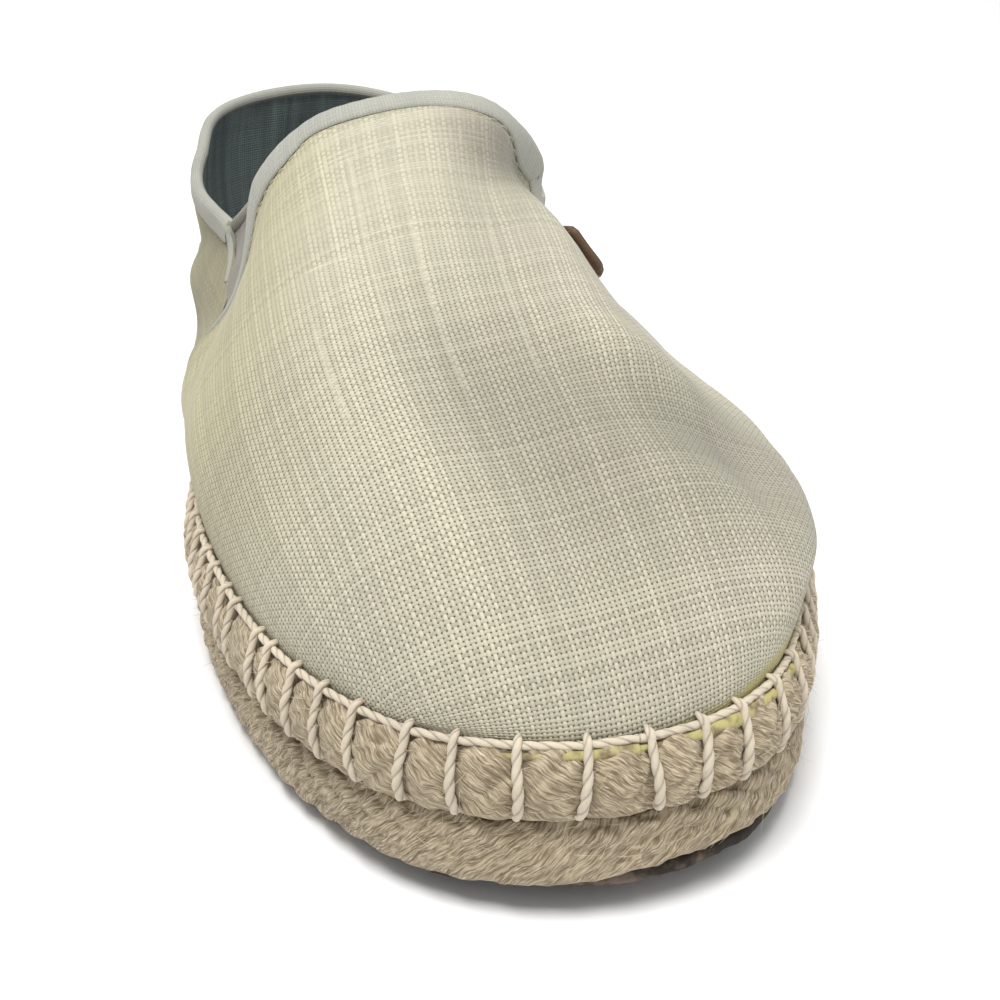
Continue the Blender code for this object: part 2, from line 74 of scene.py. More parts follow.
# Half widths of the sole, as shares of BALL_WIDTH, at shares of LENGTH from the toe
OUTLINE = (
    # from toe, medial, lateral
    (0.000, -0.005, -0.005),
    (0.014, -0.165, 0.146),
    (0.042, -0.268, 0.238),
    (0.085, -0.345, 0.314),
    (0.145, -0.410, 0.392),
    (0.220, -0.454, 0.468),
    (0.310, -0.474, 0.515),
    (0.400, -0.446, 0.512),
    (0.500, -0.402, 0.468),
    (0.600, -0.368, 0.408),
    (0.700, -0.352, 0.368),
    (0.800, -0.350, 0.338),
    (0.900, -0.326, 0.290),
    (0.960, -0.258, 0.204),
    (0.990, -0.146, 0.086),
    (1.000, -0.028, -0.028),
)

# Ribs of the last from the sewn line to the top line, as in the solids
MEDIAL_RIBS = (
    # at, top x, top y, top z, rise, lean, reach, drop, bulge
    (0.00, -0.005, -0.043, 0.995, 0.33, 0.020, 0.46, 0.34, 0.00),
    (0.13, -0.110, -0.041, 0.976, 0.33, 0.022, 0.46, 0.32, 0.00),
    (0.26, -0.200, -0.032, 0.905, 0.31, 0.028, 0.46, 0.26, 0.00),
    (0.37, -0.262, -0.012, 0.755, 0.22, 0.075, 0.42, 0.22, -0.04),
    (0.45, -0.300, 0.022, 0.600, 0.13, 0.145, 0.34, 0.26, -0.11),
    (0.53, -0.334, 0.075, 0.485, 0.13, 0.150, 0.28, 0.22, -0.07),
    (0.61, -0.368, 0.155, 0.480, 0.16, 0.120, 0.26, 0.18, -0.01),
    (0.72, -0.360, 0.262, 0.488, 0.22, 0.055, 0.26, 0.18, 0.02),
    (0.84, -0.316, 0.368, 0.515, 0.25, 0.020, 0.26, 0.18, 0.02),
    (0.93, -0.225, 0.446, 0.555, 0.26, 0.020, 0.26, 0.18, 0.02),
    (1.00, -0.030, 0.471, 0.580, 0.27, 0.020, 0.26, 0.18, 0.02),
)
LATERAL_RIBS = (
    (0.13, 0.092, -0.041, 0.972, 0.31, 0.018, 0.46, 0.32, -0.06),
    (0.26, 0.165, -0.032, 0.885, 0.22, 0.010, 0.46, 0.26, -0.23),
    (0.37, 0.222, -0.012, 0.740, 0.17, 0.000, 0.42, 0.20, -0.31),
    (0.45, 0.264, 0.022, 0.595, 0.16, 0.010, 0.34, 0.19, -0.13),
    (0.53, 0.305, 0.075, 0.485, 0.17, 0.030, 0.28, 0.18, -0.08),
    (0.61, 0.345, 0.155, 0.480, 0.18, 0.030, 0.26, 0.18, -0.02),
    (0.72, 0.335, 0.262, 0.488, 0.22, 0.030, 0.26, 0.18, 0.02),
    (0.84, 0.268, 0.368, 0.515, 0.25, 0.020, 0.26, 0.18, 0.02),
    (0.93, 0.148, 0.446, 0.555, 0.26, 0.020, 0.26, 0.18, 0.02),
)

# Gores and edges, on the scale of "at"
GORE_FRONT = 0.385
GORE_TIP = 0.500
GORE_BACK = 0.540
GORE_FLOOR = 0.40
GORE_CURVE = 1.55
SEAM_FOOT = 0.425
SEAM_HALF = 0.0022
PROBE = 0.002

# Soft troughs (depth below 0) and ridges of the vamp: width, depth, and the line in millimetres
CREASES = (
    (9.0, -3.7, ((13, -16, 70), (10, -28, 71), (6, -38, 71), (3, -50, 68))),
    (8.0, -2.0, ((4, -42, 71), (0.5, -60, 65.5), (1, -73, 61.5), (1.6, -88, 57))),
    (10.0, -2.3, ((-13, -62, 64), (-12.4, -80, 58.6), (-10.4, -95, 53.9), (-6.5, -112, 48.3),
                  (-5, -128, 40.5), (-4, -139, 33))),
    (10.0, 0.9, ((-25, -56, 61), (-26, -80, 54), (-23, -100, 48), (-18, -122, 40))),
    (7.0, 1.3, ((1, -73, 61.5), (9, -80, 58), (15, -83, 54.8), (22, -83, 49.5), (30, -82, 42))),
    (9.0, -1.4, ((4, -93, 55), (15, -97, 50), (26, -96, 41), (34, -94, 34))),
    (8.0, 0.7, ((8, -108, 47), (18, -112, 42), (27, -108, 35))),
    (9.0, -0.9, ((15, -52, 62), (22, -60, 54), (27, -62, 46))),
    (8.0, 1.3, ((-43, 2, 36), (-47, -9, 27), (-48, -20, 25))),
    (7.0, -0.8, ((-36, -24, 52), (-38, -44, 47), (-39, -62, 44))),
    (8.0, 0.8, ((-38, -14, 44), (-42, -34, 38), (-43, -56, 34))),
    (8.0, 2.6, ((26, -116, 33), (33, -102, 31), (38, -89, 30), (42, -74, 29), (45, -58, 28), (46, -40, 27))),
    (8.5, 3.2, ((14, -131, 29), (24, -120, 29), (31, -108, 28), (36, -96, 28), (40, -84, 28))),
    (7.0, 2.1, ((-22, -9, 75), (-24, -7, 72), (-27, -5, 68), (-29, -2, 64), (-30, -2, 56),
                (-33, -2, 46), (-39, 0, 36))),
)

# Soft creases of the quarters, on both sides and at the heel
QUARTER_CREASES = (
    (6.0, -2.6, ((-37, 26, 46), (-39, 42, 42.5), (-41, 58, 38.5), (-40, 78, 34))),
    (7.0, 1.2, ((-39, 14, 41), (-42, 32, 37), (-42.5, 50, 34), (-42, 68, 31))),
    (5.0, -0.8, ((-44, 12, 33), (-44, 29, 30.4), (-43, 48, 28))),
    (6.0, 1.5, ((-44, 10, 30), (-46.5, 0, 27), (-47, -8, 26))),
    (8.0, -1.0, ((-41, 84, 30), (-38, 92, 40), (-35, 96, 50))),
    (6.0, -2.0, ((33, 28, 45), (35, 44, 42), (37, 60, 38), (36, 78, 34))),
    (7.0, 1.0, ((35, 14, 40), (39, 34, 37), (40, 52, 34), (38, 70, 31))),
    (8.0, -1.0, ((37, 84, 30), (33, 92, 40), (29, 96, 50))),
    (7.0, -0.9, ((-22, 134, 30), (-13, 137, 44), (-5, 137, 53))),
    (8.0, 0.7, ((-12, 138, 30), (0, 140, 38), (12, 136, 46))),
)


def unit(vectors):
    """Vectors made one long."""
    return vectors / np.linalg.norm(vectors, axis=-1)[..., None]


def eased(share):
    """0 below 0 and 1 above 1, with a soft rise between."""
    share = np.clip(share, 0, 1)
    return share * share * (3 - 2 * share)


def softened(values, passes, axis=0):
    """Values along an axis, each drawn towards its two neighbours, with both ends kept."""
    values = np.moveaxis(np.array(values, float), axis, 0)
    for _ in range(passes):
        values[1:-1] = (values[:-2] + 2 * values[1:-1] + values[2:]) / 4
    return np.moveaxis(values, 0, axis)


def level(out):
    """Directions seen from above as level directions in space."""
    return np.column_stack([out, np.zeros(len(out))])


def signed_turn(turn):
    """Shares from 0 to 2 round the shoe as signed ones, negative on the lateral side."""
    return np.where(turn > 1, turn - 2, turn)


def turn_shares(count):
    """Evenly spaced shares from 0 to 2 round the shoe."""
    return np.arange(count) * 2 / count


def closed_spline(knots, values, at):
    """Smooth closed curve of period 1 through values at knots: a periodic cubic spline."""
    knots = np.asarray(knots, float)
    values = np.asarray(values, float)
    count = len(knots)
    step = np.diff(np.append(knots, knots[0] + 1))
    slope = (np.roll(values, -1, axis=0) - values) / step[:, None]
    order = np.arange(count)
    matrix = np.zeros((count, count))
    matrix[order, order - 1] = np.roll(step, 1)
    matrix[order, order] = 2 * (np.roll(step, 1) + step)
    matrix[order, (order + 1) % count] = step
    bend = np.linalg.solve(matrix, 6 * (slope - np.roll(slope, 1, axis=0)))
    at = (np.asarray(at, float) - knots[0]) % 1 + knots[0]
    i = np.clip(np.searchsorted(knots, at, side="right") - 1, 0, count - 1)
    j = (i + 1) % count
    h = step[i][:, None]
    b = (at - knots[i])[:, None] / h
    a = 1 - b
    return a * values[i] + b * values[j] + ((a**3 - a) * bend[i] + (b**3 - b) * bend[j]) * h**2 / 6


def outline_points(count=1440):
    """The widest line of the sole from above, toe tip first and round by the medial side."""
    rows = np.array(OUTLINE)
    y = (rows[:, 0] - 0.5) * LENGTH
    medial = np.column_stack([rows[:, 1] * BALL_WIDTH, y])
    lateral = np.column_stack([rows[:, 2] * BALL_WIDTH, y])
    points = np.vstack([medial, lateral[-2:0:-1]])
    steps = np.linalg.norm(np.roll(points, -1, axis=0) - points, axis=1)
    knots = np.concatenate([[0], np.cumsum(steps)[:-1]]) / steps.sum()
    curve = closed_spline(knots, points, np.arange(count) / count)
    curve -= (curve.min(axis=0) + curve.max(axis=0)) / 2
    return np.roll(curve, -int(np.argmin(curve[:, 1])), axis=0)


def loop_normals(points):
    """Outward unit normals of a closed curve seen from above."""
    along = np.roll(points, -1, axis=0) - np.roll(points, 1, axis=0)
    normals = unit(np.column_stack([-along[:, 1], along[:, 0]]))
    return normals * np.sign(((points - points.mean(axis=0)) * normals).sum())


def signed_shares(points):
    """Share of the way from the toe tip to the heel for each point, negative on the lateral side."""
    steps = np.linalg.norm(np.roll(points, -1, axis=0) - points, axis=1)
    run = np.concatenate([[0], np.cumsum(steps)])
    heel = int(np.argmax(points[:, 1]))
    medial = run[: heel + 1] / run[heel]
    lateral = (run[heel:-1] - run[-1]) / (run[-1] - run[heel])
    return np.concatenate([medial, lateral[1:]])


SOLE_CURVE = outline_points()
SOLE_NORMALS = loop_normals(SOLE_CURVE)
SOLE_TURN = signed_shares(SOLE_CURVE) % 2


def sole_line(at):
    """Points of the sole's widest line and its outward normals, at signed shares from toe to heel."""
    turn = np.append(SOLE_TURN, 2.0)
    wanted = np.asarray(at, float) % 2
    both = np.column_stack([SOLE_CURVE, SOLE_NORMALS])
    both = np.vstack([both, both[:1]])
    read = np.column_stack([np.interp(wanted, turn, both[:, k]) for k in range(4)])
    return read[:, :2], unit(read[:, 2:])


def sole_loop(at, inset):
    """Points of the sole's outline moved inwards by inset."""
    points, normals = sole_line(at)
    return points - normals * np.asarray(inset, float).reshape(-1, 1)


def spring(y):
    """Height that the toe spring adds at a place along the shoe."""
    start = SPRING_START * LENGTH
    share = np.clip((start - y) / (start + LENGTH / 2), 0, None)
    return TOE_SPRING * share**2


def rib_values(at):
    """The rib tables read at signed shares: top point, rise, lean, reach, drop and bulge."""
    rows = np.array(MEDIAL_RIBS + LATERAL_RIBS[::-1])
    toe_to_heel = len(MEDIAL_RIBS)
    knots = np.concatenate([rows[:toe_to_heel, 0] / 2, 1 - rows[toe_to_heel:, 0] / 2])
    return closed_spline(knots, rows[:, 1:], (np.asarray(at) / 2) % 1)


def rib_height(at):
    """Height that a rib's shares are taken of: the instep's at the throat, the collar's behind."""
    behind = eased((np.abs(at) - GORE_FRONT) / (GORE_BACK - GORE_FRONT))
    return INSTEP_HEIGHT * (1 - behind) + COLLAR_HEIGHT / TABLE_COLLAR * behind


def last_points(at, up):
    """Points of the last: a Bezier rib for each share "at" round the shoe, read at "up"."""
    at, up = np.broadcast_arrays(np.asarray(at, float), np.asarray(up, float))
    shape = at.shape
    at = signed_turn(at)
    at, u = at.ravel(), up.ravel()[:, None]
    line, out = sole_line(at)
    foot = line - out * FEATHER_INSET
    value = rib_values(at)
    tall = rib_height(at)
    start = np.column_stack([foot, FEATHER_TOP + GAP + spring(foot[:, 1])])
    top = np.column_stack([value[:, 0] * BALL_WIDTH, value[:, 1] * LENGTH, SOLE_TOP + value[:, 2] * tall])
    lower = start + np.column_stack([out * value[:, 4:5] * BALL_WIDTH, value[:, 3] * tall])
    upper = top.copy()
    upper[:, :2] += (foot - top[:, :2]) * value[:, 5:6] + out * value[:, 7:8] * BALL_WIDTH
    upper[:, 2] -= value[:, 6] * tall
    points = (1 - u)**3 * start + 3 * (1 - u)**2 * u * lower + 3 * (1 - u) * u**2 * upper + u**3 * top
    return points.reshape(shape + (3,))


def last_slopes(at, up):
    """Change of the last's surface along "at" and along "up"."""
    at, up = np.broadcast_arrays(np.asarray(at, float), np.asarray(up, float))
    along = (last_points(at + PROBE, up) - last_points(at - PROBE, up)) / (2 * PROBE)
    rise = (last_points(at, up + PROBE) - last_points(at, up - PROBE)) / (2 * PROBE)
    return along, rise


def last_normals(at, up):
    """Outward unit normals of the last: the cross product of its two slopes."""
    along, rise = last_slopes(at, up)
    return unit(np.cross(rise, along))


def vamp_edge(at):
    """Share up the rib where the vamp ends: the throat, then down the front of the gore."""
    reach = np.clip((np.abs(at) - GORE_FRONT) / (GORE_TIP - GORE_FRONT), 0, 1)
    return 1 - (1 - GORE_FLOOR) * reach**GORE_CURVE


def quarter_edge(at):
    """Share up the rib where a quarter ends: up the back of the gore, then the collar."""
    reach = np.clip((np.abs(at) - GORE_TIP) / (GORE_BACK - GORE_TIP), 0, 1)
    return GORE_FLOOR + (1 - GORE_FLOOR) * (1 - np.sqrt(1 - reach))


def moved_edge(at, up, distance):
    """An edge path on the last, moved by a distance down from the edge, along the surface: the
    step across the path is solved for "at" and "up" with the surface's two slopes."""
    points = last_points(at, up)
    along, rise = last_slopes(at, up)
    normals = last_normals(at, up)
    path = unit(np.gradient(points, axis=0))
    step = np.cross(normals, path) * np.broadcast_to(distance, at.shape)[:, None]
    aa, ar, rr = (along * along).sum(1), (along * rise).sum(1), (rise * rise).sum(1)
    sa, sr = (step * along).sum(1), (step * rise).sum(1)
    size = aa * rr - ar * ar
    return at + (sa * rr - sr * ar) / size, up + (sr * aa - sa * ar) / size


def soft_lines(points, table):
    """Height that soft troughs and ridges add to points: each is a bell across its line, faded
    out towards the line's two ends. Sizes in the table are in millimetres."""
    total = np.zeros(points.shape[:-1])
    for width, depth, line in table:
        line = np.array(line) / 1000
        step = np.diff(line, axis=0)
        length = np.linalg.norm(step, axis=1)
        run = np.concatenate([[0], np.cumsum(length)[:-1]])
        away = points[..., None, :] - line[:-1]
        share = np.clip((away * step).sum(-1) / length**2, 0, 1)
        gap = np.linalg.norm(away - share[..., None] * step, axis=-1)
        nearest = gap.argmin(-1)[..., None]
        place = np.take_along_axis(run + share * length, nearest, -1)[..., 0] / length.sum()
        gap = np.take_along_axis(gap, nearest, -1)[..., 0]
        fade = np.sin(math.pi * np.clip(0.06 + 0.88 * place, 0, 1))**0.7
        total += depth / 1000 * np.exp(-(gap / (width / 1000))**2) * fade
    return total


def hashed(i, j, seed):
    """A fixed number from 0 to 1 for each pair of whole numbers."""
    return np.modf(np.abs(np.sin(i * 127.1 + j * 311.7 + seed * 74.7) * 43758.5453))[0]


def rough(x, y, seed):
    """Smooth noise from -1 to 1: fixed values at whole numbers, eased between them."""
    i, j = np.floor(x), np.floor(y)
    a, b = eased(x - i), eased(y - j)
    low = hashed(i, j, seed) * (1 - a) + hashed(i + 1, j, seed) * a
    high = hashed(i, j + 1, seed) * (1 - a) + hashed(i + 1, j + 1, seed) * a
    return 2 * (low * (1 - b) + high * b) - 1


def ripple(way, seed):
    """Smooth noise from -1 to 1 along a line."""
    return rough(way, way * 0, seed)


def grid_faces(rows, count, wrap_rows=False, wrap_count=False):
    """Quads of a grid of rows by count points, as corner numbers."""
    row = np.arange(rows if wrap_rows else rows - 1)[:, None]
    col = np.arange(count if wrap_count else count - 1)[None, :]
    above, right = (row + 1) % rows, (col + 1) % count
    corners = (row * count + col, row * count + right, above * count + right, above * count + col)
    return np.stack(np.broadcast_arrays(*corners), -1).reshape(-1, 4)


def signed_volume(points, faces):
    """Volume inside faces, negative where they point inwards: the sum of the cones to the origin."""
    a, b, c = points[faces[:, 0]], points[faces[:, 1]], points[faces[:, 2]]
    total = np.einsum("ij,ij->", a, np.cross(b, c))
    if faces.shape[1] == 4:
        d = points[faces[:, 3]]
        total += np.einsum("ij,ij->", a, np.cross(c, d))
    return total


def new_piece(name, points, faces, materials, nodes=(), maps=None, wraps=None, picks=None):
    """A piece of the shoe: a mesh whose faces point outwards, with its materials and maps. A map
    that runs round the shoe has its length in wraps, so that its last column reads on."""
    groups = faces if isinstance(faces, list) else [faces]
    if sum(signed_volume(points, group) for group in groups) < 0:
        groups = [group[:, ::-1] for group in groups]
    mesh = bpy.data.meshes.new(name)
    mesh.from_pydata(points.tolist(), [], [face for group in groups for face in group.tolist()])
    corners = np.concatenate([group.ravel() for group in groups])
    for key, values in (maps or {}).items():
        layer = mesh.uv_layers.new(name=key)
        flat = values[corners].copy()
        period = (wraps or {}).get(key)
        if period:
            each = flat[:, 0].reshape(-1, groups[0].shape[1])
            each += period * (each.max(axis=1, keepdims=True) - each > period / 2)
            flat[:, 0] = each.ravel()
        layer.data.foreach_set("uv", flat.astype(np.float32).ravel())
    for material in materials:
        mesh.materials.append(material)
    if picks is not None:
        mesh.polygons.foreach_set("material_index", picks.astype(np.int32))
    mesh.shade_smooth()
    mesh.update()
    obj = bpy.data.objects.new(name, mesh)
    bpy.context.scene.collection.objects.link(obj)
    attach(obj, "root")
    if nodes:
        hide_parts(*nodes)
    return obj


def shell(outer, inner, round_edge=0.5):
    """A closed wall between an outer and an inner grid: its rim bulges out between the two by
    round_edge of the thickness. Returns the points, the quads, 1 for each quad that is inside and
    the number of each point's place in the grid."""
    rows, count, _ = outer.shape
    size = rows * count
    loop = np.concatenate([
        np.arange(count),
        np.arange(1, rows) * count + count - 1,
        (rows - 1) * count + np.arange(count - 2, -1, -1),
        np.arange(rows - 2, 0, -1) * count,
    ])
    flat_out, flat_in = outer.reshape(-1, 3), inner.reshape(-1, 3)
    edge = (flat_out[loop] + flat_in[loop]) / 2
    along = np.roll(edge, -1, axis=0) - np.roll(edge, 1, axis=0)
    thick = flat_out[loop] - flat_in[loop]
    away = np.cross(along, thick)
    away /= np.linalg.norm(away, axis=1)[:, None] + 1e-12
    away *= np.sign(((edge - flat_out.mean(axis=0)) * away).sum())
    edge = edge + away * np.linalg.norm(thick, axis=1)[:, None] * round_edge
    skin = grid_faces(rows, count)
    lining = skin[:, ::-1] + size
    following = np.roll(loop, -1)
    mid = 2 * size + np.arange(len(loop))
    after = np.roll(mid, -1)
    rim = np.concatenate([
        np.stack([following, loop, mid, after], -1),
        np.stack([after, mid, loop + size, following + size], -1),
    ])
    points = np.concatenate([flat_out, flat_in, edge])
    faces = np.concatenate([skin, rim, lining])
    inside = np.zeros(len(faces))
    inside[-len(lining):] = 1
    return points, faces, inside, np.concatenate([np.arange(2 * size) % size, loop])


def tubes(paths, normals, radius, sides, twist=0.0, plies=2, groove=0.0):
    """Round cords along many paths of equal count: rings of points round each path, the radius
    waving plies times round and turning with the way along, and both ends closed to a point.
    Returns points, [quads, triangles] and (way along, way round) for each point."""
    count, steps, _ = paths.shape
    along = unit(np.gradient(paths, axis=1))
    side = unit(np.cross(along, normals))
    top = np.cross(side, along)
    hop = np.linalg.norm(np.diff(paths, axis=1), axis=-1)
    run = np.concatenate([np.zeros((count, 1)), np.cumsum(hop, axis=1)], axis=1)[..., None]
    angle = np.linspace(0, 2 * math.pi, sides, endpoint=False)
    wave = 1 - groove * (1 - np.abs(np.cos((plies * (angle - twist * run)) / 2)))
    size = np.broadcast_to(radius, (count, steps))[..., None] * wave
    ring = paths[:, :, None, :] + size[..., None] * (
        np.cos(angle)[None, None, :, None] * top[:, :, None, :]
        + np.sin(angle)[None, None, :, None] * side[:, :, None, :])
    points = np.concatenate([ring.reshape(-1, 3), paths[:, 0], paths[:, -1]])
    first = (np.arange(count) * steps * sides)[:, None]
    quads = (first[..., None] + grid_faces(steps, sides, wrap_count=True)[None]).reshape(-1, 4)
    i = np.arange(sides)[None, :]
    j = (i + 1) % sides
    last = first + (steps - 1) * sides
    start = (count * steps * sides + np.arange(count))[:, None]
    end = start + count
    caps = np.concatenate([
        np.stack(np.broadcast_arrays(start, first + j, first + i), -1).reshape(-1, 3),
        np.stack(np.broadcast_arrays(end, last + i, last + j), -1).reshape(-1, 3),
    ])
    place = np.stack(np.broadcast_arrays(run, angle / (2 * math.pi)), -1).reshape(-1, 2)
    place = np.concatenate([place, np.zeros((2 * count, 2))])
    return points, [quads, caps], place


def closed_tube(path, normals, radius, sides, twist, plies, groove):
    """A cord round a closed path: as tubes, with its last ring joined to its first and a whole
    number of turns of its plies. Returns points, quads and (way along, way round)."""
    along = unit(np.roll(path, -1, axis=0) - np.roll(path, 1, axis=0))
    side = unit(np.cross(along, normals))
    top = np.cross(side, along)
    hop = np.linalg.norm(np.roll(path, -1, axis=0) - path, axis=-1)
    run = np.concatenate([[0], np.cumsum(hop)[:-1]])
    whole = hop.sum()
    turns = round(twist * whole * plies / (2 * math.pi))
    angle = np.linspace(0, 2 * math.pi, sides, endpoint=False)
    phase = plies * angle[None, :] - 2 * math.pi * turns * (run / whole)[:, None]
    size = radius * (1 - groove * (1 - np.abs(np.cos(phase / 2))))
    ring = path[:, None, :] + size[..., None] * (
        np.cos(angle)[None, :, None] * top[:, None, :] + np.sin(angle)[None, :, None] * side[:, None, :])
    place = np.stack(np.broadcast_arrays(run[:, None], angle[None, :] / (2 * math.pi)), -1)
    faces = grid_faces(len(path), sides, wrap_rows=True, wrap_count=True)
    return ring.reshape(-1, 3), faces, place.reshape(-1, 2)


class Signal:
    """A shader socket: arithmetic on it adds Math nodes to its finish."""

    def __init__(self, finish, socket):
        self.finish = finish
        self.socket = socket

    def math(self, operation, *values):
        inputs = dict(enumerate((self,) + values))
        return self.finish.node("ShaderNodeMath", {"operation": operation}, inputs)

    def __add__(self, other):
        return self.math("ADD", other)

    def __sub__(self, other):
        return self.math("SUBTRACT", other)

    def __rsub__(self, other):
        return (self * -1.0) + other

    def __mul__(self, other):
        return self.math("MULTIPLY", other)

    def __truediv__(self, other):
        return self.math("DIVIDE", other)

    def __pow__(self, other):
        return self.math("POWER", other)

    def __abs__(self):
        return self.math("ABSOLUTE")

    def sin(self):
        return self.math("SINE")

    def sign(self):
        return self.math("SIGN")

    def floor(self):
        return self.math("FLOOR")

    def at_most(self, other):
        return self.math("MINIMUM", other)

    def at_least(self, other):
        return self.math("MAXIMUM", other)

    def over(self, other):
        return self.math("GREATER_THAN", other)

    def ease(self, low, high):
        """0 below low and 1 above high, with a soft rise between; low may be the higher."""
        settings = {"interpolation_type": "SMOOTHSTEP"}
        if low <= high:
            return self.finish.node("ShaderNodeMapRange", settings, {0: self, 1: low, 2: high})
        return self.finish.node("ShaderNodeMapRange", settings, {0: self, 1: high, 2: low, 3: 1.0, 4: 0.0})


class Finish:
    """A material under construction."""

    def __init__(self, name, roughness=0.85, sheen=0.0):
        self.material = bpy.data.materials.new(name)
        self.material.use_nodes = True
        self.tree = self.material.node_tree
        self.shader = self.tree.nodes["Principled BSDF"]
        self.shader.inputs["Roughness"].default_value = roughness
        self.shader.inputs["Sheen Weight"].default_value = sheen
        self.shader.inputs["Specular IOR Level"].default_value = 0.25

    def feed(self, socket, value):
        """Sets a socket to a value or links a signal to it."""
        if isinstance(value, Signal):
            self.tree.links.new(value.socket, socket)
        else:
            socket.default_value = value

    def node(self, kind, settings=None, inputs=None, output=0):
        """A node of a kind, its settings made first, then the values or links of its sockets."""
        made = self.tree.nodes.new(kind)
        for key, value in (settings or {}).items():
            setattr(made, key, value)
        for key, value in (inputs or {}).items():
            self.feed(made.inputs[key], value)
        return Signal(self, made.outputs[output])

    def place(self):
        """Object coordinates."""
        return self.node("ShaderNodeTexCoord", output="Object")

    def chart(self, name):
        """The two numbers of a UV map."""
        split = self.node("ShaderNodeSeparateXYZ", None, {0: self.node("ShaderNodeUVMap", {"uv_map": name})})
        return split, Signal(self, split.socket.node.outputs[1])

    def vector(self, x, y, z=0.0):
        return self.node("ShaderNodeCombineXYZ", None, {0: x, 1: y, 2: z})

    def noise(self, vector, scale, detail=2.0, roughness=0.5):
        inputs = {"Vector": vector, "Scale": scale, "Detail": detail, "Roughness": roughness}
        return self.node("ShaderNodeTexNoise", None, inputs)

    def chance(self, x, y=0.0):
        """A fixed number from 0 to 1 for each pair of numbers."""
        return self.node("ShaderNodeTexWhiteNoise", {"noise_dimensions": "2D"}, {"Vector": self.vector(x, y)})

    def blend(self, share, low, high):
        """A colour between two, by share."""
        inputs = {0: share, 6: low, 7: high}
        return self.node("ShaderNodeMix", {"data_type": "RGBA"}, inputs, output=2)

    def scaled(self, colour, factor):
        """A colour made lighter or darker by a factor."""
        start = colour if isinstance(colour, Signal) else colour[:3]
        return self.node("ShaderNodeVectorMath", {"operation": "SCALE"}, {0: start, "Scale": factor})

    def distance(self, place, point):
        """How far a place lies from a point."""
        inputs = {0: place, 1: point}
        return self.node("ShaderNodeVectorMath", {"operation": "DISTANCE"}, inputs, output=1)

    def surface(self, colour, height=None, depth=0.0003, strength=1.0, roughness=None):
        """Colour, bump and roughness of the finished material."""
        self.feed(self.shader.inputs["Base Color"], colour)
        if height is not None:
            inputs = {"Height": height, "Distance": depth, "Strength": strength}
            self.feed(self.shader.inputs["Normal"], self.node("ShaderNodeBump", None, inputs))
        if roughness is not None:
            self.feed(self.shader.inputs["Roughness"], roughness)
        return self.material


def rgba(colour, factor=1.0):
    """A colour with full cover, made lighter or darker."""
    return tuple(channel * factor for channel in colour[:3]) + (1.0,)


def woven(finish, u, v, warp_pitch, weft_pitch, gap, wander=0.28):
    """A plain weave on thread coordinates. Two sets of ridges cross: each thread is a round ridge
    that rises over its neighbours and dips under the next, so the height is the higher of the two.
    Returns the height, a random share for each thread and where the warp lies on top."""
    place = finish.place()
    drift_u = finish.noise(finish.vector(u * 420.0, v * 70.0), 1.0, 1.0)
    drift_v = finish.noise(finish.vector(u * 70.0, v * 420.0, 5.0), 1.0, 1.0)
    slow = finish.noise(place, 22.0, 1.0)
    across = u / warp_pitch + (drift_u - 0.5) * (2 * wander) + slow * 1.2
    along = v / weft_pitch + (drift_v - 0.5) * (2 * wander) + slow * 0.9
    warp, weft = (across * math.pi).sin(), (along * math.pi).sin()
    warp_body = ((abs(warp) - gap) / (1 - gap)).at_least(0.0) ** 0.6
    weft_body = ((abs(weft) - gap) / (1 - gap)).at_least(0.0) ** 0.6
    warp_height = warp_body * (warp.sign() * weft * 0.42 + 0.58)
    weft_height = weft_body * (weft.sign() * warp * -0.42 + 0.58)
    height = warp_height.at_least(weft_height)
    on_warp = warp_height.over(weft_height)
    warp_share = finish.chance(across.floor(), 3.0)
    weft_share = finish.chance(along.floor(), 9.0)
    share = on_warp * warp_share + (1.0 - on_warp) * weft_share
    return height, share, on_warp


# Thick bright threads that the photo shows: place across, and start and end along, in metres
SLUBS = (
    (0.0177, 0.079, 0.131),
    (0.0288, 0.062, 0.088),
    (0.0099, 0.062, 0.106),
    (-0.0030, 0.062, 0.107),
    (0.0223, 0.102, 0.136),
)
CROSS_SLUB = (0.1009, 0.0190, 0.0288)
WARP_PITCH = 0.00086
WEFT_PITCH = 0.00074
SLUB_HALF = 0.00024         # half the width of a slub

# Painted shade on the linen, in soft grey areas: middle, radius and share of the tone that they take away
SHADE_SPOTS = (
    ((0.018, -0.105, 0.046), 0.042, 0.32),
    ((0.032, -0.085, 0.036), 0.034, 0.18),
    ((0.015, -0.020, 0.066), 0.024, 0.60),
    ((-0.045, -0.070, 0.032), 0.034, 0.10),
    ((-0.006, -0.090, 0.055), 0.028, 0.12),
    ((-0.042, 0.030, 0.038), 0.058, 0.42),
)


def between(signal, low, high, soft):
    """1 where a signal lies from low to high, with soft ends."""
    return signal.ease(low - soft, low + soft) * signal.ease(high + soft, high - soft)


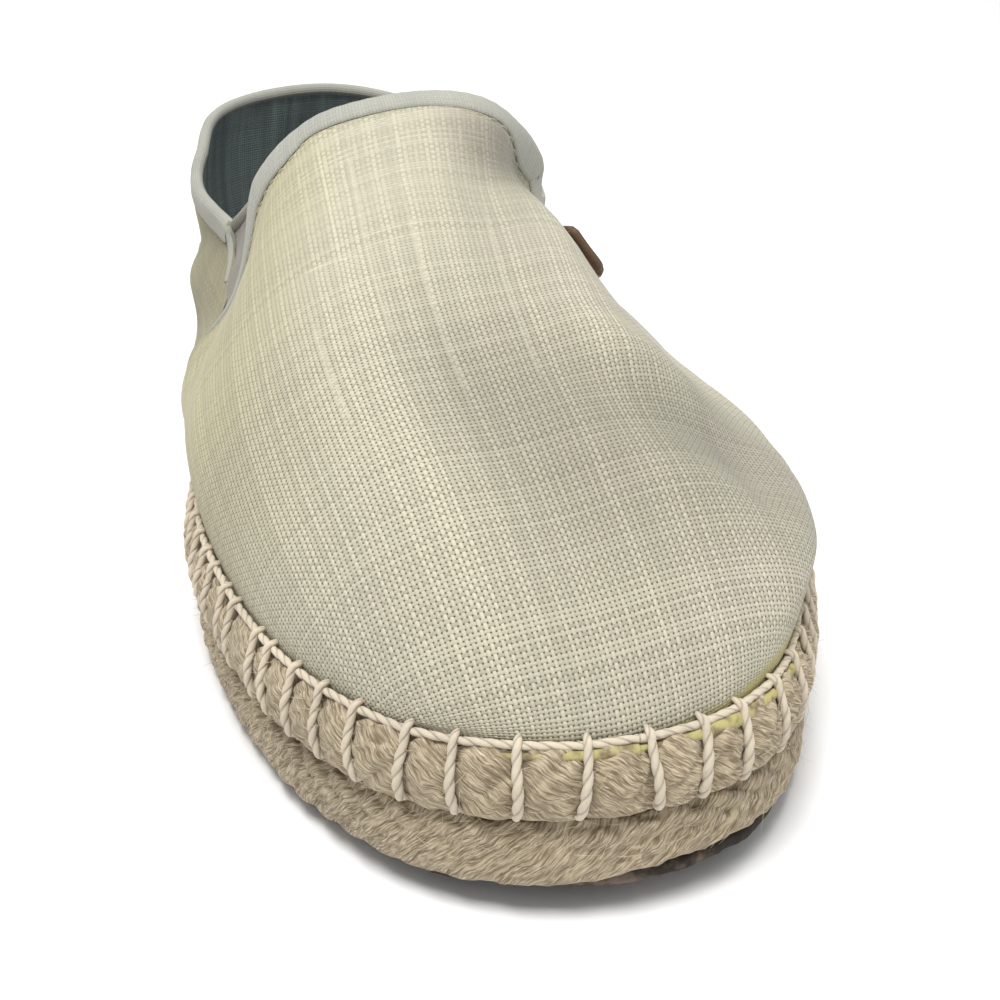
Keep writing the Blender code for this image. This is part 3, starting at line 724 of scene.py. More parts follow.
def linen(colours):
    """Coarse natural linen: a plain weave with pinholes that close up towards the throat, their gaps
    painted dark as shade, uneven threads with thick bright stretches, greener and painted darker as
    shade on the medial side, painted shade in soft grey areas and in the creases, and glue marks low on the
    toe."""
    finish = Finish("linen weave", 0.92, 0.12)
    u, v = finish.chart("cloth")
    at, low = finish.chart("place")
    fold, _ = finish.chart("fold")
    height, share, on_warp = woven(finish, u, v, WARP_PITCH, WEFT_PITCH, 0.32)
    place = finish.place()
    fibre = finish.noise(finish.vector(u * 3000.0, v * 3000.0), 1.0, 2.0)
    blotch = finish.noise(place, 30.0, 3.0)
    warp_run = finish.noise(finish.vector((u / WARP_PITCH).floor() * 7.3, v * 38.0), 1.0, 1.0)
    weft_run = finish.noise(finish.vector((v / WEFT_PITCH).floor() * 5.1, u * 38.0, 4.0), 1.0, 1.0)
    thick = on_warp * warp_run.ease(0.60, 0.72) + (1.0 - on_warp) * weft_run.ease(0.62, 0.74)
    shut = v.ease(0.060, 0.125) * 0.72
    slub = thick * 0.30
    for across, start, end in SLUBS:
        line = between(u + (blotch - 0.5) * 0.0004, across - SLUB_HALF, across + SLUB_HALF, 0.00016)
        slub = slub.at_least(line * between(v, start, end, 0.004))
    tilt = v + (u - 0.024) * -0.24
    line = between(tilt, CROSS_SLUB[0] - SLUB_HALF, CROSS_SLUB[0] + SLUB_HALF, 0.00016)
    slub = slub.at_least(line * between(u, CROSS_SLUB[1], CROSS_SLUB[2], 0.001)) * (fibre * 0.9 + 0.5)
    tone = share * 0.24 + fibre * 0.20 + blotch * 0.14 + slub * 0.15
    tone = tone + (on_warp - 0.5) * (1.0 - shut) * 0.16 + 0.64
    # Painted shade: soft grey areas where the tone is taken down, standing for shade on the shoe.
    for middle, radius, amount in SHADE_SPOTS:
        away = finish.distance(place, middle)
        tone = tone * (1.0 - (away + (blotch - 0.5) * 0.02).ease(radius, 0.0) * amount)
    # Painted shade in the creases' troughs and a little painted light on their ridges: the tone follows the
    # fold map's depth.
    tone = tone * (fold * 60.0 + 1.0).at_least(0.86).at_most(1.05)
    # Medial side: the linen turns yellower and darker, partly the cloth's own tint, partly painted shade.
    side = (at.ease(0.10, 0.36) + blotch * 0.4 - 0.2).at_least(0.0).at_most(1.0) * at.ease(1.0, 0.80)
    pink = finish.noise(place, 44.0, 1.0).ease(0.48, 0.66) * at.ease(0.05, -0.10) * 0.5
    cloth = finish.blend(side, rgba(colours.linen), rgba(colours.linen_shade))
    cloth = finish.scaled(finish.blend(pink, cloth, rgba(colours.linen_pink)), tone)
    # The gaps between the threads are painted dark: partly the lining behind them, partly painted shade.
    open_share = (1.0 - height.ease(0.02, 0.50)) * (1.0 - shut) * (1.0 - slub * 0.6)
    cloth = finish.blend(open_share, cloth, rgba(colours.linen_hole))
    mark = finish.noise(place, 170.0, 3.0)
    height_left = low + mark * 0.0024 + (at + 0.08).at_least(0.0) * 0.045
    front = between(at, -0.118, -0.018, 0.008) * height_left.ease(0.0058, 0.0042)
    thin = between(at, -0.16, 0.20, 0.02) * (low + mark * 0.0012).ease(0.0018, 0.0009) * 0.45
    cloth = finish.blend(front.at_least(thin) * mark.ease(0.30, 0.48), cloth, rgba(colours.glue))
    height = height * (1.0 - shut * 0.5) * 0.75 + fibre * 0.15 + slub * 0.25
    return finish.surface(cloth, height, 0.00026, 0.85)


def canvas(colours):
    """Dark blue-grey lining canvas with paler streaks up and down."""
    finish = Finish("lining canvas", 0.95)
    u, v = finish.chart("cloth")
    height, share, _ = woven(finish, u, v, 0.0007, 0.0007, 0.2)
    streak = finish.noise(finish.vector(u * 260.0, v * 16.0), 1.0, 3.0)
    tone = share * 0.20 + streak * 1.4 + 0.20
    cloth = finish.scaled(rgba(colours.lining), tone)
    # Painted shade in the weave's dips: the canvas is darker where its threads lie low.
    cloth = finish.blend(height.ease(0.0, 0.6), rgba(colours.lining, 0.35), cloth)
    return finish.surface(cloth, height, 0.0002, 0.7)


def tape(colours):
    """Pale grey cotton tape: a fine slanted rib, a little soiled."""
    finish = Finish("cotton tape", 0.9, 0.1)
    u, v = finish.chart("cloth")
    height, share, _ = woven(finish, u, v, 0.00055, 0.0006, 0.15, 0.15)
    blotch = finish.noise(finish.place(), 60.0, 3.0)
    cloth = finish.scaled(rgba(colours.tape), share * 0.12 + blotch * 0.22 + 0.80)
    # Painted shade in the weave's dips: the tape is darker where its threads lie low.
    cloth = finish.blend(height.ease(0.0, 0.5), rgba(colours.tape, 0.55), cloth)
    return finish.surface(cloth, height, 0.00016, 0.6)


def elastic(colours):
    """Grey-lilac elastic: fine ribs up and down with a soft sheen."""
    finish = Finish("ribbed elastic", 0.75, 0.2)
    u, v = finish.chart("cloth")
    rib = abs((u * (math.pi / 0.0011)).sin())
    cross = abs((v * (math.pi / 0.0006)).sin())
    streak = finish.noise(finish.vector(u * 500.0, v * 20.0), 1.0, 2.0)
    # Painted shade between the ribs: the tone follows the ribs' height.
    cloth = finish.scaled(rgba(colours.elastic), rib * 0.25 + streak * 0.35 + 0.60)
    return finish.surface(cloth, rib * 0.8 + cross * 0.2, 0.0003, 0.8)


def jute(colours, name, slant):
    """Raw jute: fibre streaks that run along the strands, with dark gaps, partly the fibres' own
    tone and partly painted shade, and pale hairs. The map holds the way round and the way up, in
    metres."""
    finish = Finish(name, 0.95, 0.1)
    u, v = finish.chart("fibre")
    lie, across = math.cos(slant), math.sin(slant)
    along = u * lie + v * across
    over = v * lie - u * across
    wisp = finish.noise(finish.place(), 90.0, 2.0)
    curl = finish.noise(finish.place(), 300.0, 1.0)
    bent = over + (wisp - 0.5) * 0.0022 + (curl - 0.5) * 0.0009
    coarse = finish.noise(finish.vector(along * 230.0, bent * 1900.0), 1.0, 3.0, 0.6)
    fine = finish.noise(finish.vector(along * 650.0, bent * 5200.0, 7.0), 1.0, 2.0)
    blotch = finish.noise(finish.place(), 45.0, 3.0)
    streaks = coarse * 0.5 + fine * 0.5
    # The low streaks take the dark colour: partly the fibres' own tone, partly painted shade in the gaps.
    base = finish.blend(streaks.ease(0.38, 0.61), rgba(colours.jute_dark), rgba(colours.jute))
    base = finish.blend(fine.ease(0.60, 0.74), base, rgba(colours.jute_pale))
    base = finish.scaled(base, blotch * 0.5 + 0.75)
    return finish.surface(base, streaks, 0.0005, 0.85)


def hairs(colours):
    """Pale jute hairs."""
    finish = Finish("jute hairs", 0.8)
    tone = finish.noise(finish.place(), 400.0, 1.0)
    return finish.surface(finish.blend(tone, rgba(colours.jute), rgba(colours.jute_pale)))


CORD_TWIST = 1300.0         # turn of the cord's two plies, in radians a metre


def cotton_cord(colours):
    """Cream cotton cord of the blanket stitches: two plies with painted shade in the groove between
    them, and soiled areas."""
    finish = Finish("cotton cord", 0.85, 0.15)
    place = finish.place()
    round_way, run = finish.chart("cord")
    ply = abs((round_way * (2 * math.pi) - run * CORD_TWIST + math.pi / 2).sin())
    fibre = finish.noise(place, 1400.0, 2.0)
    soil = finish.noise(place, 70.0, 3.0)
    # Painted shade in the groove between the plies and painted light on their crests.
    cloth = finish.scaled(rgba(colours.cord), fibre * 0.25 + soil * 0.45 + ply.ease(0.0, 0.45) * 0.30 + 0.36)
    return finish.surface(cloth, ply.ease(0.0, 0.6) + fibre * 0.3, 0.0002, 0.7)


def dried_glue(colours):
    """Olive-yellow dried glue with jute dust on it."""
    finish = Finish("dried glue", 0.6)
    place = finish.place()
    dust = finish.noise(place, 500.0, 3.0)
    base = finish.blend(dust.ease(0.42, 0.70), rgba(colours.glue), rgba(colours.jute_dark))
    return finish.surface(base, dust, 0.0005, 0.8)


def sewing_thread(colours):
    """Fine thread of the seams."""
    finish = Finish("sewing thread", 0.7)
    fibre = finish.noise(finish.place(), 2500.0, 1.0)
    return finish.surface(finish.scaled(rgba(colours.thread), fibre * 0.3 + 0.85), fibre, 0.00005, 0.5)


def rubber(colours):
    """Thin dark rubber with a worn, dusty edge."""
    finish = Finish("sole rubber", 0.8)
    place = finish.place()
    grain = finish.noise(place, 900.0, 3.0)
    worn = finish.noise(place, 140.0, 4.0, 0.65)
    base = finish.blend(worn.ease(0.50, 0.68), rgba(colours.rubber), rgba(colours.rubber_worn))
    return finish.surface(base, grain * 0.4 + worn * 0.6, 0.0006, 0.8, grain * 0.2 + 0.7)


def leather(colours):
    """Tan leather, darker at its cut edges, with a fine pebbled grain."""
    finish = Finish("tan leather", 0.55)
    place = finish.place()
    edge, _ = finish.chart("edge")
    pebble = finish.node("ShaderNodeTexVoronoi", None, {"Vector": place, "Scale": 1700.0})
    cloudy = finish.noise(place, 240.0, 4.0)
    base = finish.scaled(rgba(colours.leather), cloudy * 0.5 + 0.75)
    base = finish.blend(edge.ease(0.72, 1.0), base, rgba(colours.leather_edge))
    return finish.surface(base, pebble * 0.7, 0.00015, 0.5, cloudy * 0.2 + 0.45)


def footbed_cloth(colours):
    """Blue-grey canvas of the footbed, a little worn where the foot stands."""
    finish = Finish("footbed canvas", 0.95)
    u, v = finish.chart("cloth")
    height, share, _ = woven(finish, u, v, 0.0009, 0.0009, 0.2)
    worn = finish.noise(finish.place(), 26.0, 3.0)
    cloth = finish.scaled(rgba(colours.footbed), share * 0.25 + worn * 0.5 + 0.60)
    # Painted shade in the weave's dips: the footbed is darker where its threads lie low.
    cloth = finish.blend(height.ease(0.0, 0.6), rgba(colours.footbed, 0.4), cloth)
    return finish.surface(cloth, height, 0.00025, 0.8)


def colour_property(label, about, colour):
    return FloatVectorProperty(name=label, description=about, subtype="COLOR", size=3, min=0, max=1,
                               default=colour)


def size_property(label, about, size):
    return FloatProperty(name=label, description=about, default=size, unit="LENGTH", precision=5)


class EspadrilleColours(bpy.types.PropertyGroup):
    """Colours of the shoe's cloths, cords and sole."""

    linen: colour_property("Linen", "Threads of the vamp and quarters", (0.500, 0.473, 0.362))
    # Darker, yellower linen of the medial side: partly the cloth's tint, partly painted shade.
    linen_shade: colour_property("Linen, medial", "Threads on the medial side", (0.455, 0.420, 0.262))
    linen_pink: colour_property("Linen, pinkish", "Faintly pink areas", (0.51, 0.46, 0.375))
    # Colour of the weave's gaps: partly the lining behind them, partly painted shade.
    linen_hole: colour_property("Linen, holes", "Gaps between the threads", (0.085, 0.070, 0.040))
    lining: colour_property("Lining", "Canvas inside the upper", (0.180, 0.215, 0.208))
    tape: colour_property("Tape", "Binding of throat and collar", (0.375, 0.373, 0.325))
    elastic: colour_property("Elastic", "Gores", (0.225, 0.207, 0.165))
    jute: colour_property("Jute", "Strands of the sole", (0.50, 0.415, 0.290))
    # Darkest jute: in the sole's gaps partly painted shade, on the glue the colour of its dust.
    jute_dark: colour_property("Jute, gaps", "Between the fibres", (0.185, 0.140, 0.085))
    jute_pale: colour_property("Jute, hairs", "Palest fibres", (0.66, 0.58, 0.45))
    cord: colour_property("Cord", "Blanket stitches", (0.57, 0.495, 0.385))
    thread: colour_property("Thread", "Seams of the upper", (0.40, 0.37, 0.25))
    glue: colour_property("Glue", "Marks low on the toe", (0.43, 0.385, 0.165))
    rubber: colour_property("Rubber", "Outsole", (0.030, 0.022, 0.017))
    rubber_worn: colour_property("Rubber, worn", "Dust on the outsole", (0.16, 0.12, 0.085))
    leather: colour_property("Leather", "Side tab", (0.33, 0.195, 0.105))
    leather_edge: colour_property("Leather edge", "Cut edge of the side tab", (0.115, 0.070, 0.042))
    footbed: colour_property("Footbed", "Canvas of the footbed", (0.20, 0.22, 0.23))


class EspadrilleSizes(bpy.types.PropertyGroup):
    """Sizes of the shoe's cords, stitches and tapes."""

    stitch_count: IntProperty(name="Stitches", description="Blanket stitches round the sole", default=87)
    cord_radius: size_property("Cord radius", "Blanket stitches and running cord", 0.00060)
    tape_width: size_property("Tape width", "Binding of throat and collar", 0.0050)
    thread_radius: size_property("Thread radius", "Seams of the upper", 0.00019)
    seam_pitch: size_property("Seam pitch", "From stitch to stitch of a seam", 0.0030)
    fibre_count: IntProperty(name="Loose fibres", description="Hairs on the jute", default=2600)


def colours():
    return bpy.context.scene.espadrille_colours


def sizes():
    return bpy.context.scene.espadrille_sizes


MADE = {}


def finish_of(name, maker, *rest):
    """A material, made once and then shared."""
    if name not in MADE:
        MADE[name] = maker(colours(), *rest)
    return MADE[name]


# Grid of the vamp and of the quarters
VAMP_COLUMNS = 281
VAMP_ROWS = 121
QUARTER_COLUMNS = 361
QUARTER_ROWS = 41
SEAM_UNDER = 0.014          # how far the quarters reach under the vamp, on the scale of "at"
THREAD_LEVELS = 160         # lines round the vamp on which the way across is measured

# How the vamp's threads lie askew: a skew that fades to the lateral side, a lean that grows towards
# the toe, and a tilt that grows away from the middle
SKEW = 0.10
SKEW_START = 0.100
SKEW_REACH = 0.03
LEAN = 0.00145
LEAN_START = 0.077
LEAN_REACH = 0.009
TILT = 0.13
TILT_TURN = 0.0034
TILT_REACH = 0.02


def vamp_grid():
    """Shares of the vamp's grid: columns run from the lateral gore tip over the throat to the
    medial one, rows from the sole to the edge."""
    top = np.linspace(-GORE_TIP, GORE_TIP, VAMP_COLUMNS)
    foot = top * SEAM_FOOT / GORE_TIP
    rows = np.linspace(0, 1, VAMP_ROWS)[:, None]
    return foot + (top - foot) * rows, vamp_edge(top) * rows


def quarter_grid():
    """Shares of the quarters' grid, from the medial seam round the heel to the lateral one."""
    half = QUARTER_COLUMNS // 2
    side = np.linspace(0, 1, half // 3)
    rise = GORE_TIP + (GORE_BACK - GORE_TIP) * (1 - (1 - side)**2)
    collar = np.linspace(GORE_BACK, 1, half + 1 - len(side) + 1)[1:]
    under = np.linspace(GORE_TIP - SEAM_UNDER, GORE_TIP, 6)[:-1]
    top = np.concatenate([under, rise, collar])
    top = np.concatenate([top, 2 - top[-2::-1]])
    foot = 1 + (top - 1) * (1 - SEAM_FOOT) / (1 - GORE_TIP)
    edge = quarter_edge(np.minimum(top, 2 - top))
    rows = np.linspace(0, 1, QUARTER_ROWS)[:, None]
    return foot + (top - foot) * rows, edge * rows


def run_along(points, axis):
    """Way along a grid's rows or columns, from its start."""
    hop = np.linalg.norm(np.diff(points, axis=axis), axis=-1)
    pad = [(0, 0), (0, 0)]
    pad[axis] = (1, 0)
    return np.pad(np.cumsum(hop, axis=axis), pad)


def vamp_threads(points):
    """Thread coordinates of the vamp. The way along is that of the nearest point of the vamp's
    middle line, seen from the side. The way across is measured round the vamp at that place. The
    cloth lies a little askew, more on the lateral side."""
    middle = points[:, points.shape[1] // 2, 1:]
    run = run_along(middle[:, None, :], 0)[:, 0]
    slope = unit(np.gradient(middle, axis=0))
    flat = points[..., 1:].reshape(-1, 2)
    gap = ((flat[:, None, :] - middle[None]) ** 2).sum(-1)
    near = gap.argmin(axis=1)
    along = (run[near] + ((flat - middle[near]) * slope[near]).sum(1)).reshape(points.shape[:2])
    along = np.maximum.accumulate(along + np.arange(len(along))[:, None] * 1e-7, axis=0)
    levels = np.linspace(along.min(), along.max(), THREAD_LEVELS)
    columns = points.shape[1]
    lines = np.empty((len(levels), columns, 3))
    for column in range(columns):
        for k in range(3):
            lines[:, column, k] = np.interp(levels, along[:, column], points[:, column, k])
    across = run_along(lines, 1)
    across -= across[:, columns // 2][:, None]
    place = (along - levels[0]) / (levels[1] - levels[0])
    low = np.clip(np.floor(place).astype(int), 0, len(levels) - 2)
    share = place - low
    column = np.broadcast_to(np.arange(columns), low.shape)
    round_way = across[low, column] * (1 - share) + across[low + 1, column] * share
    skew = SKEW * (1 - np.tanh(round_way / SKEW_REACH))
    lean = LEAN * np.log1p(np.exp((LEAN_START - along) / LEAN_REACH))
    tilt = TILT * round_way - TILT_TURN * np.log(np.cosh(round_way / TILT_REACH))
    return round_way + skew * (along - SKEW_START) + lean, along + tilt


def with_lining(name, outer, inner, charts, round_edge):
    """A cloth wall with linen outside and lining inside, standing for the upper."""
    points, faces, inside, source = shell(outer, inner, round_edge)
    maps = {key: np.stack([u.ravel(), v.ravel()], -1)[source] for key, (u, v) in charts.items()}
    cloths = [finish_of("linen", linen), finish_of("lining", canvas)]
    return new_piece(name, points, faces, cloths, ["upper"], maps, picks=inside)


CLOTH_EDGE = 0.35           # how far a cloth's rim bulges, as a share of its thickness
UNEVEN = 0.00022            # height of the linen's unevenness, whose bumps are about 18 mm apart
UNEVEN_SCALE = 55


def cloth_skin(at, up):
    """Points and normals of the last for a cloth, with the normals of its lowest row level."""
    skin, normals = last_points(at, up), last_normals(at, up)
    normals[0, :, 2] = 0
    return skin, unit(normals)


def make_vamp():
    """The vamp: the last's surface with its creases, lifted over the quarters."""
    at, up = vamp_grid()
    skin, normals = cloth_skin(at, up)
    across, along = vamp_threads(skin)
    height = run_along(skin, 0)
    share = np.linspace(0, 1, VAMP_ROWS)[:, None]
    settle = np.clip(share * 8, 0, 1)
    relief = soft_lines(skin, CREASES) * settle
    relief += UNEVEN * rough(skin[..., 0] * UNEVEN_SCALE, skin[..., 1] * UNEVEN_SCALE, 3) * settle
    lift = SEAM_LIFT * np.minimum(1, share * 4)
    outer = skin + normals * (lift + relief)[..., None]
    inner = skin + normals * (relief - WALL)[..., None]
    # The fold map carries the creases' depth, for the linen's painted shade in troughs and painted light on
    # ridges.
    charts = {"cloth": (across, along), "place": (at, height), "fold": (relief, np.ones_like(at))}
    return with_lining("linen_vamp", outer, inner, charts, CLOTH_EDGE)


QUARTER_TUCK = 0.0003       # how far the quarters' front edges sink under the vamp
LINING_LIFT = 0.0001        # the quarters' lining is this much nearer the linen than the vamp's
QUARTER_THREADS = (0.2, 0.3)  # start of the quarters' threads, away from the vamp's


def make_quarters():
    """Both quarters in one round of cloth behind the gores, softly creased."""
    at, up = quarter_grid()
    skin, normals = cloth_skin(at, up)
    height = run_along(skin, 0)
    middle = run_along(skin, 1)[QUARTER_ROWS // 2]
    settle = np.clip(np.linspace(0, 1, QUARTER_ROWS)[:, None] * 6, 0, 1)
    relief = soft_lines(skin, QUARTER_CREASES) * settle
    turn = np.minimum(at, 2 - at)
    tucked = np.clip((GORE_TIP - turn) / SEAM_UNDER, 0, 1)
    outer = skin + normals * (relief - QUARTER_TUCK * tucked)[..., None]
    inner = skin + normals * (relief - WALL + LINING_LIFT)[..., None]
    across = np.broadcast_to(middle, at.shape) + QUARTER_THREADS[0]
    # The fold map carries the creases' depth, for the linen's painted shade in troughs and painted light on
    # ridges.
    charts = {"cloth": (across, height + QUARTER_THREADS[1]), "place": (signed_turn(at), height),
              "fold": (relief, np.ones_like(at))}
    return with_lining("linen_quarters", outer, inner, charts, CLOTH_EDGE)


class ESPADRILLE_OT_upper(bpy.types.Operator):
    """Make the linen vamp and quarters"""
    bl_idname = "espadrille.upper"
    bl_label = "Upper"

    def execute(self, context):
        make_vamp()
        make_quarters()
        return {"FINISHED"}


# Section of a tape: share of its width in from the edge, and share of its half thickness
TAPE_SECTION = np.array((
    (1.00, 0.80),
    (0.97, 1.00),
    (0.80, 1.12),
    (0.50, 1.18),
    (0.20, 1.12),
    (0.00, 0.96),
    (-0.12, 0.60),
    (-0.17, 0.20),
    (-0.17, -0.20),
    (-0.12, -0.60),
    (0.00, -0.96),
    (0.12, -1.06),
    (0.22, -1.06),
    (0.26, -0.86),
))


TAPE_THICKNESS = 0.0008     # of a tape at its full width, inside and outside the edge together
TAPE_MARGIN = 0.0002        # thickness that is left where a tape has no width
TAPE_SWELL = 0.03           # swelling between stitches, and uneven swelling, as shares
TAPE_UNEVEN = 0.05
TAPE_SOFTENING = 12


def tape_piece(name, node, at, up, width, lift, creases):
    """Tape folded over an edge path: its section is carried along the path, and its two ends are
    closed. The tape swells a little between its stitches."""
    full = np.clip(width / sizes().tape_width, 0, 1)
    half = (WALL + lift + TAPE_MARGIN + TAPE_THICKNESS * full) / 2
    centre = (lift - WALL) / 2
    path = last_points(at, up)
    run = run_along(path[None], 1)[0]
    swell = 1 + TAPE_SWELL * np.sin(run * 2 * math.pi / sizes().seam_pitch)
    swell = swell + TAPE_UNEVEN * ripple(run * 160, 8)
    rows = []
    for share, out in TAPE_SECTION:
        moved_at, moved_up = moved_edge(at, up, width * share)
        skin, normals = last_points(moved_at, moved_up), last_normals(moved_at, moved_up)
        relief = soft_lines(skin, creases)
        rows.append(skin + normals * (centre + relief + out * half * swell)[:, None])
    grid = softened(rows, TAPE_SOFTENING, axis=1)
    sides, count, _ = grid.shape
    ends = grid[:, [0, -1]].mean(axis=0)
    points = np.concatenate([grid.reshape(-1, 3), ends])
    quads = grid_faces(sides, count, wrap_rows=True)
    i = np.arange(sides)
    j = (i + 1) % sides
    size = sides * count
    first = np.stack([np.full(sides, size), i * count, j * count], -1)
    last = np.stack([np.full(sides, size + 1), j * count + count - 1, i * count + count - 1], -1)
    round_way = run_along(grid, 0)[:, count // 2]
    chart = np.stack(np.broadcast_arrays(run[None, :], round_way[:, None]), -1).reshape(-1, 2)
    chart = np.concatenate([chart, chart[:1], chart[:1]])
    return new_piece(name, points, [quads, np.concatenate([first, last])], [finish_of("tape", tape)],
                     [node], {"cloth": chart})


THROAT_END = 0.488          # where the throat's tape ends, down the gore's front
THROAT_WIDEN = 0.42         # how much wider it is beside the gores
THROAT_NARROW = 0.82        # and how much narrower at its ends
COLLAR_START = 0.52         # share of the way up the gore's back where the collar's tape starts
COLLAR_NARROW = 0.16        # its width at its two ends, as a share, and how soon it is full
COLLAR_REACH = 0.018
PATH_POINTS = 421


def throat_path(count):
    """Shares of the vamp's edge, from one end of its tape round the throat to the other."""
    at = np.linspace(-THROAT_END, THROAT_END, count)
    return at, vamp_edge(at)


def throat_width(at):
    """Width of the throat's tape as a share: wider beside the gores, then narrowing to its ends."""
    side = eased((np.abs(at) - 0.24) / 0.08)
    reach = np.clip((np.abs(at) - GORE_FRONT) / (THROAT_END - GORE_FRONT), 0, 1)
    return (1 + THROAT_WIDEN * side) * (1 - THROAT_NARROW * reach**1.3)


def collar_path(count):
    """Shares of the quarters' edge, from a little way down the medial gore up to the collar, round
    the heel and down again at the lateral gore, with softened corners."""
    rise = np.linspace(COLLAR_START, 1, count // 10)
    side = GORE_TIP + (GORE_BACK - GORE_TIP) * (1 - (1 - rise)**2)
    half = np.concatenate([side, np.linspace(GORE_BACK, 1, count // 2)[1:]])
    at = np.concatenate([half, 2 - half[-2::-1]])
    return softened(at, 6), softened(quarter_edge(np.minimum(at, 2 - at)), 6)


class ESPADRILLE_OT_bindings(bpy.types.Operator):
    """Make the tapes of the throat and the collar"""
    bl_idname = "espadrille.bindings"
    bl_label = "Bindings"

    def execute(self, context):
        width = sizes().tape_width
        at, up = throat_path(PATH_POINTS)
        tape_piece("throat_tape", "binding_throat", at, up, width * throat_width(at), SEAM_LIFT, CREASES)
        at, up = collar_path(PATH_POINTS)
        run = run_along(last_points(at, up)[None], 1)[0]
        reach = eased(np.minimum(run, run[-1] - run) / COLLAR_REACH)
        width = width * (COLLAR_NARROW + (1 - COLLAR_NARROW) * reach)
        tape_piece("collar_tape", "binding_collar", at, up, width, 0.0, QUARTER_CREASES)
        return {"FINISHED"}


GORE_ROWS = 61
GORE_POINTS = 33
GORE_TUCK = 0.0024          # how far a gore reaches under the edges of its V
GORE_RULED = 0.9            # share by which its lines are drawn straight from edge to edge
GORE_DRAWN = 0.0007         # how far its middle is drawn in
GORE_FACES = (0.0005, 0.0013)  # its outside and its inside, in from the last


def make_gore(name, node, side):
    """Elastic that joins the vamp's edge to the quarter's, tucked under both: nearly straight lines
    from one edge to the other."""
    way = np.linspace(0, 1, GORE_ROWS)
    front = GORE_TIP - SEAM_HALF + (GORE_FRONT - GORE_TIP + SEAM_HALF) * way
    back = GORE_TIP + (GORE_BACK - GORE_TIP) * (1 - (1 - way)**2) + SEAM_HALF * (1 - way)
    front_at, front_up = moved_edge(front, vamp_edge(front), -GORE_TUCK)
    back_at, back_up = moved_edge(back, quarter_edge(back), GORE_TUCK)
    front_up[-1] = back_up[-1] = 1
    front_up, back_up = np.minimum(front_up, 1), np.minimum(back_up, 1)
    across = np.linspace(0, 1, GORE_POINTS)[None, :]
    at = side * (front_at[:, None] * (1 - across) + back_at[:, None] * across)
    up = front_up[:, None] * (1 - across) + back_up[:, None] * across
    skin, normals = last_points(at, up), last_normals(at, up)
    follow = soft_lines(skin, CREASES) * (1 - across)**2 + soft_lines(skin, QUARTER_CREASES) * across**2
    skin = skin + normals * follow[..., None]
    ruled = skin[:, :1] * (1 - across[..., None]) + skin[:, -1:] * across[..., None]
    skin = skin + (ruled - skin) * GORE_RULED
    drawn = GORE_DRAWN * np.sin(math.pi * across) * np.ones_like(at)
    outer, inner = (skin - normals * (face + drawn)[..., None] for face in GORE_FACES)
    points, faces, _, source = shell(outer, inner, 0.4)
    u, v = run_along(skin, 1), run_along(skin, 0)
    chart = np.stack([u.ravel(), v.ravel()], -1)[source]
    return new_piece(name, points, faces, [finish_of("elastic", elastic)], [node],
                     {"cloth": chart})


class ESPADRILLE_OT_gores(bpy.types.Operator):
    """Make both elastic gores"""
    bl_idname = "espadrille.gores"
    bl_label = "Gores"

    def execute(self, context):
        make_gore("elastic_medial", "gore_medial", 1)
        make_gore("elastic_lateral", "gore_lateral", -1)
        return {"FINISHED"}


ROLL_BOTTOM = OUTSOLE_THICKNESS + GAP + LOWER_BRAID_HEIGHT + GAP
PLAIT_BOTTOM = OUTSOLE_THICKNESS + GAP
ROLL_BULGE = 0.0028         # depth of the roll's round side
PLAIT_BULGE = 0.0021
PLAIT_INSET = 0.0007
STRAND = 0.0046             # width of a strand of the roll, along the sole
PLAIT_STRAND = 0.0062
STRAND_HEIGHT = 0.00062     # height of the roll's strands, and how far each turns up its side
STRAND_TURN = 1.15
PLAIT_HEIGHT = 0.00085      # the same for the plait, whose middle line is at an angle up its side
PLAIT_TURN = 0.80
PLAIT_MIDDLE = 0.25
PINCH = 0.00085             # how deep a stitch draws the roll in
PINCH_FOOT = 0.0011         # and how much deeper where it goes under the roll
PINCH_PLAIT = 0.0010        # and the plait's upper side
BETWEEN_SWELL = 0.00045     # how far the roll bulges between two stitches
CORE = 0.0085               # how far in the hidden back of a course lies
CORE_DROP = 0.0010          # and how far below the crest it ends


def loop_run(at):
    """Way along the join from the toe tip, in metres, at turn shares from 0 to 2."""
    table = np.linspace(0, 2, 4001)
    loop = sole_loop(signed_turn(table), FEATHER_INSET)
    run = run_along(loop[None], 1)[0]
    return np.interp(at, table, run), run[-1]


# Way along the join of the stitches that the photo shows, in millimetres from the toe tip
SEEN_STITCHES = (101.6, 95.0, 89.1, 81.3, 76.0, 65.4, 60.6, 52.9, 45.7, 38.2, 29.0, 22.4, 14.5, 6.2,
                 -1.4, -8.6, -14.8, -23.0, -30.8)


def stitch_places():
    """Turn shares of the blanket stitches: those of the photo, then evenly spaced along the join
    with each a little off."""
    table = np.linspace(0, 2, 4001)
    run, whole = loop_run(table)
    seen = np.array(SEEN_STITCHES) / 1000
    rest = whole - (seen[0] - seen[-1])
    count = sizes().stitch_count - len(seen)
    order = np.arange(count)
    hidden = seen[0] + rest * (order + 1) / (count + 1)
    hidden = hidden + 0.0005 * (2 * hashed(order, order * 3, 2) - 1)
    return np.interp(np.sort(np.concatenate([seen, hidden]) % whole), run, table)


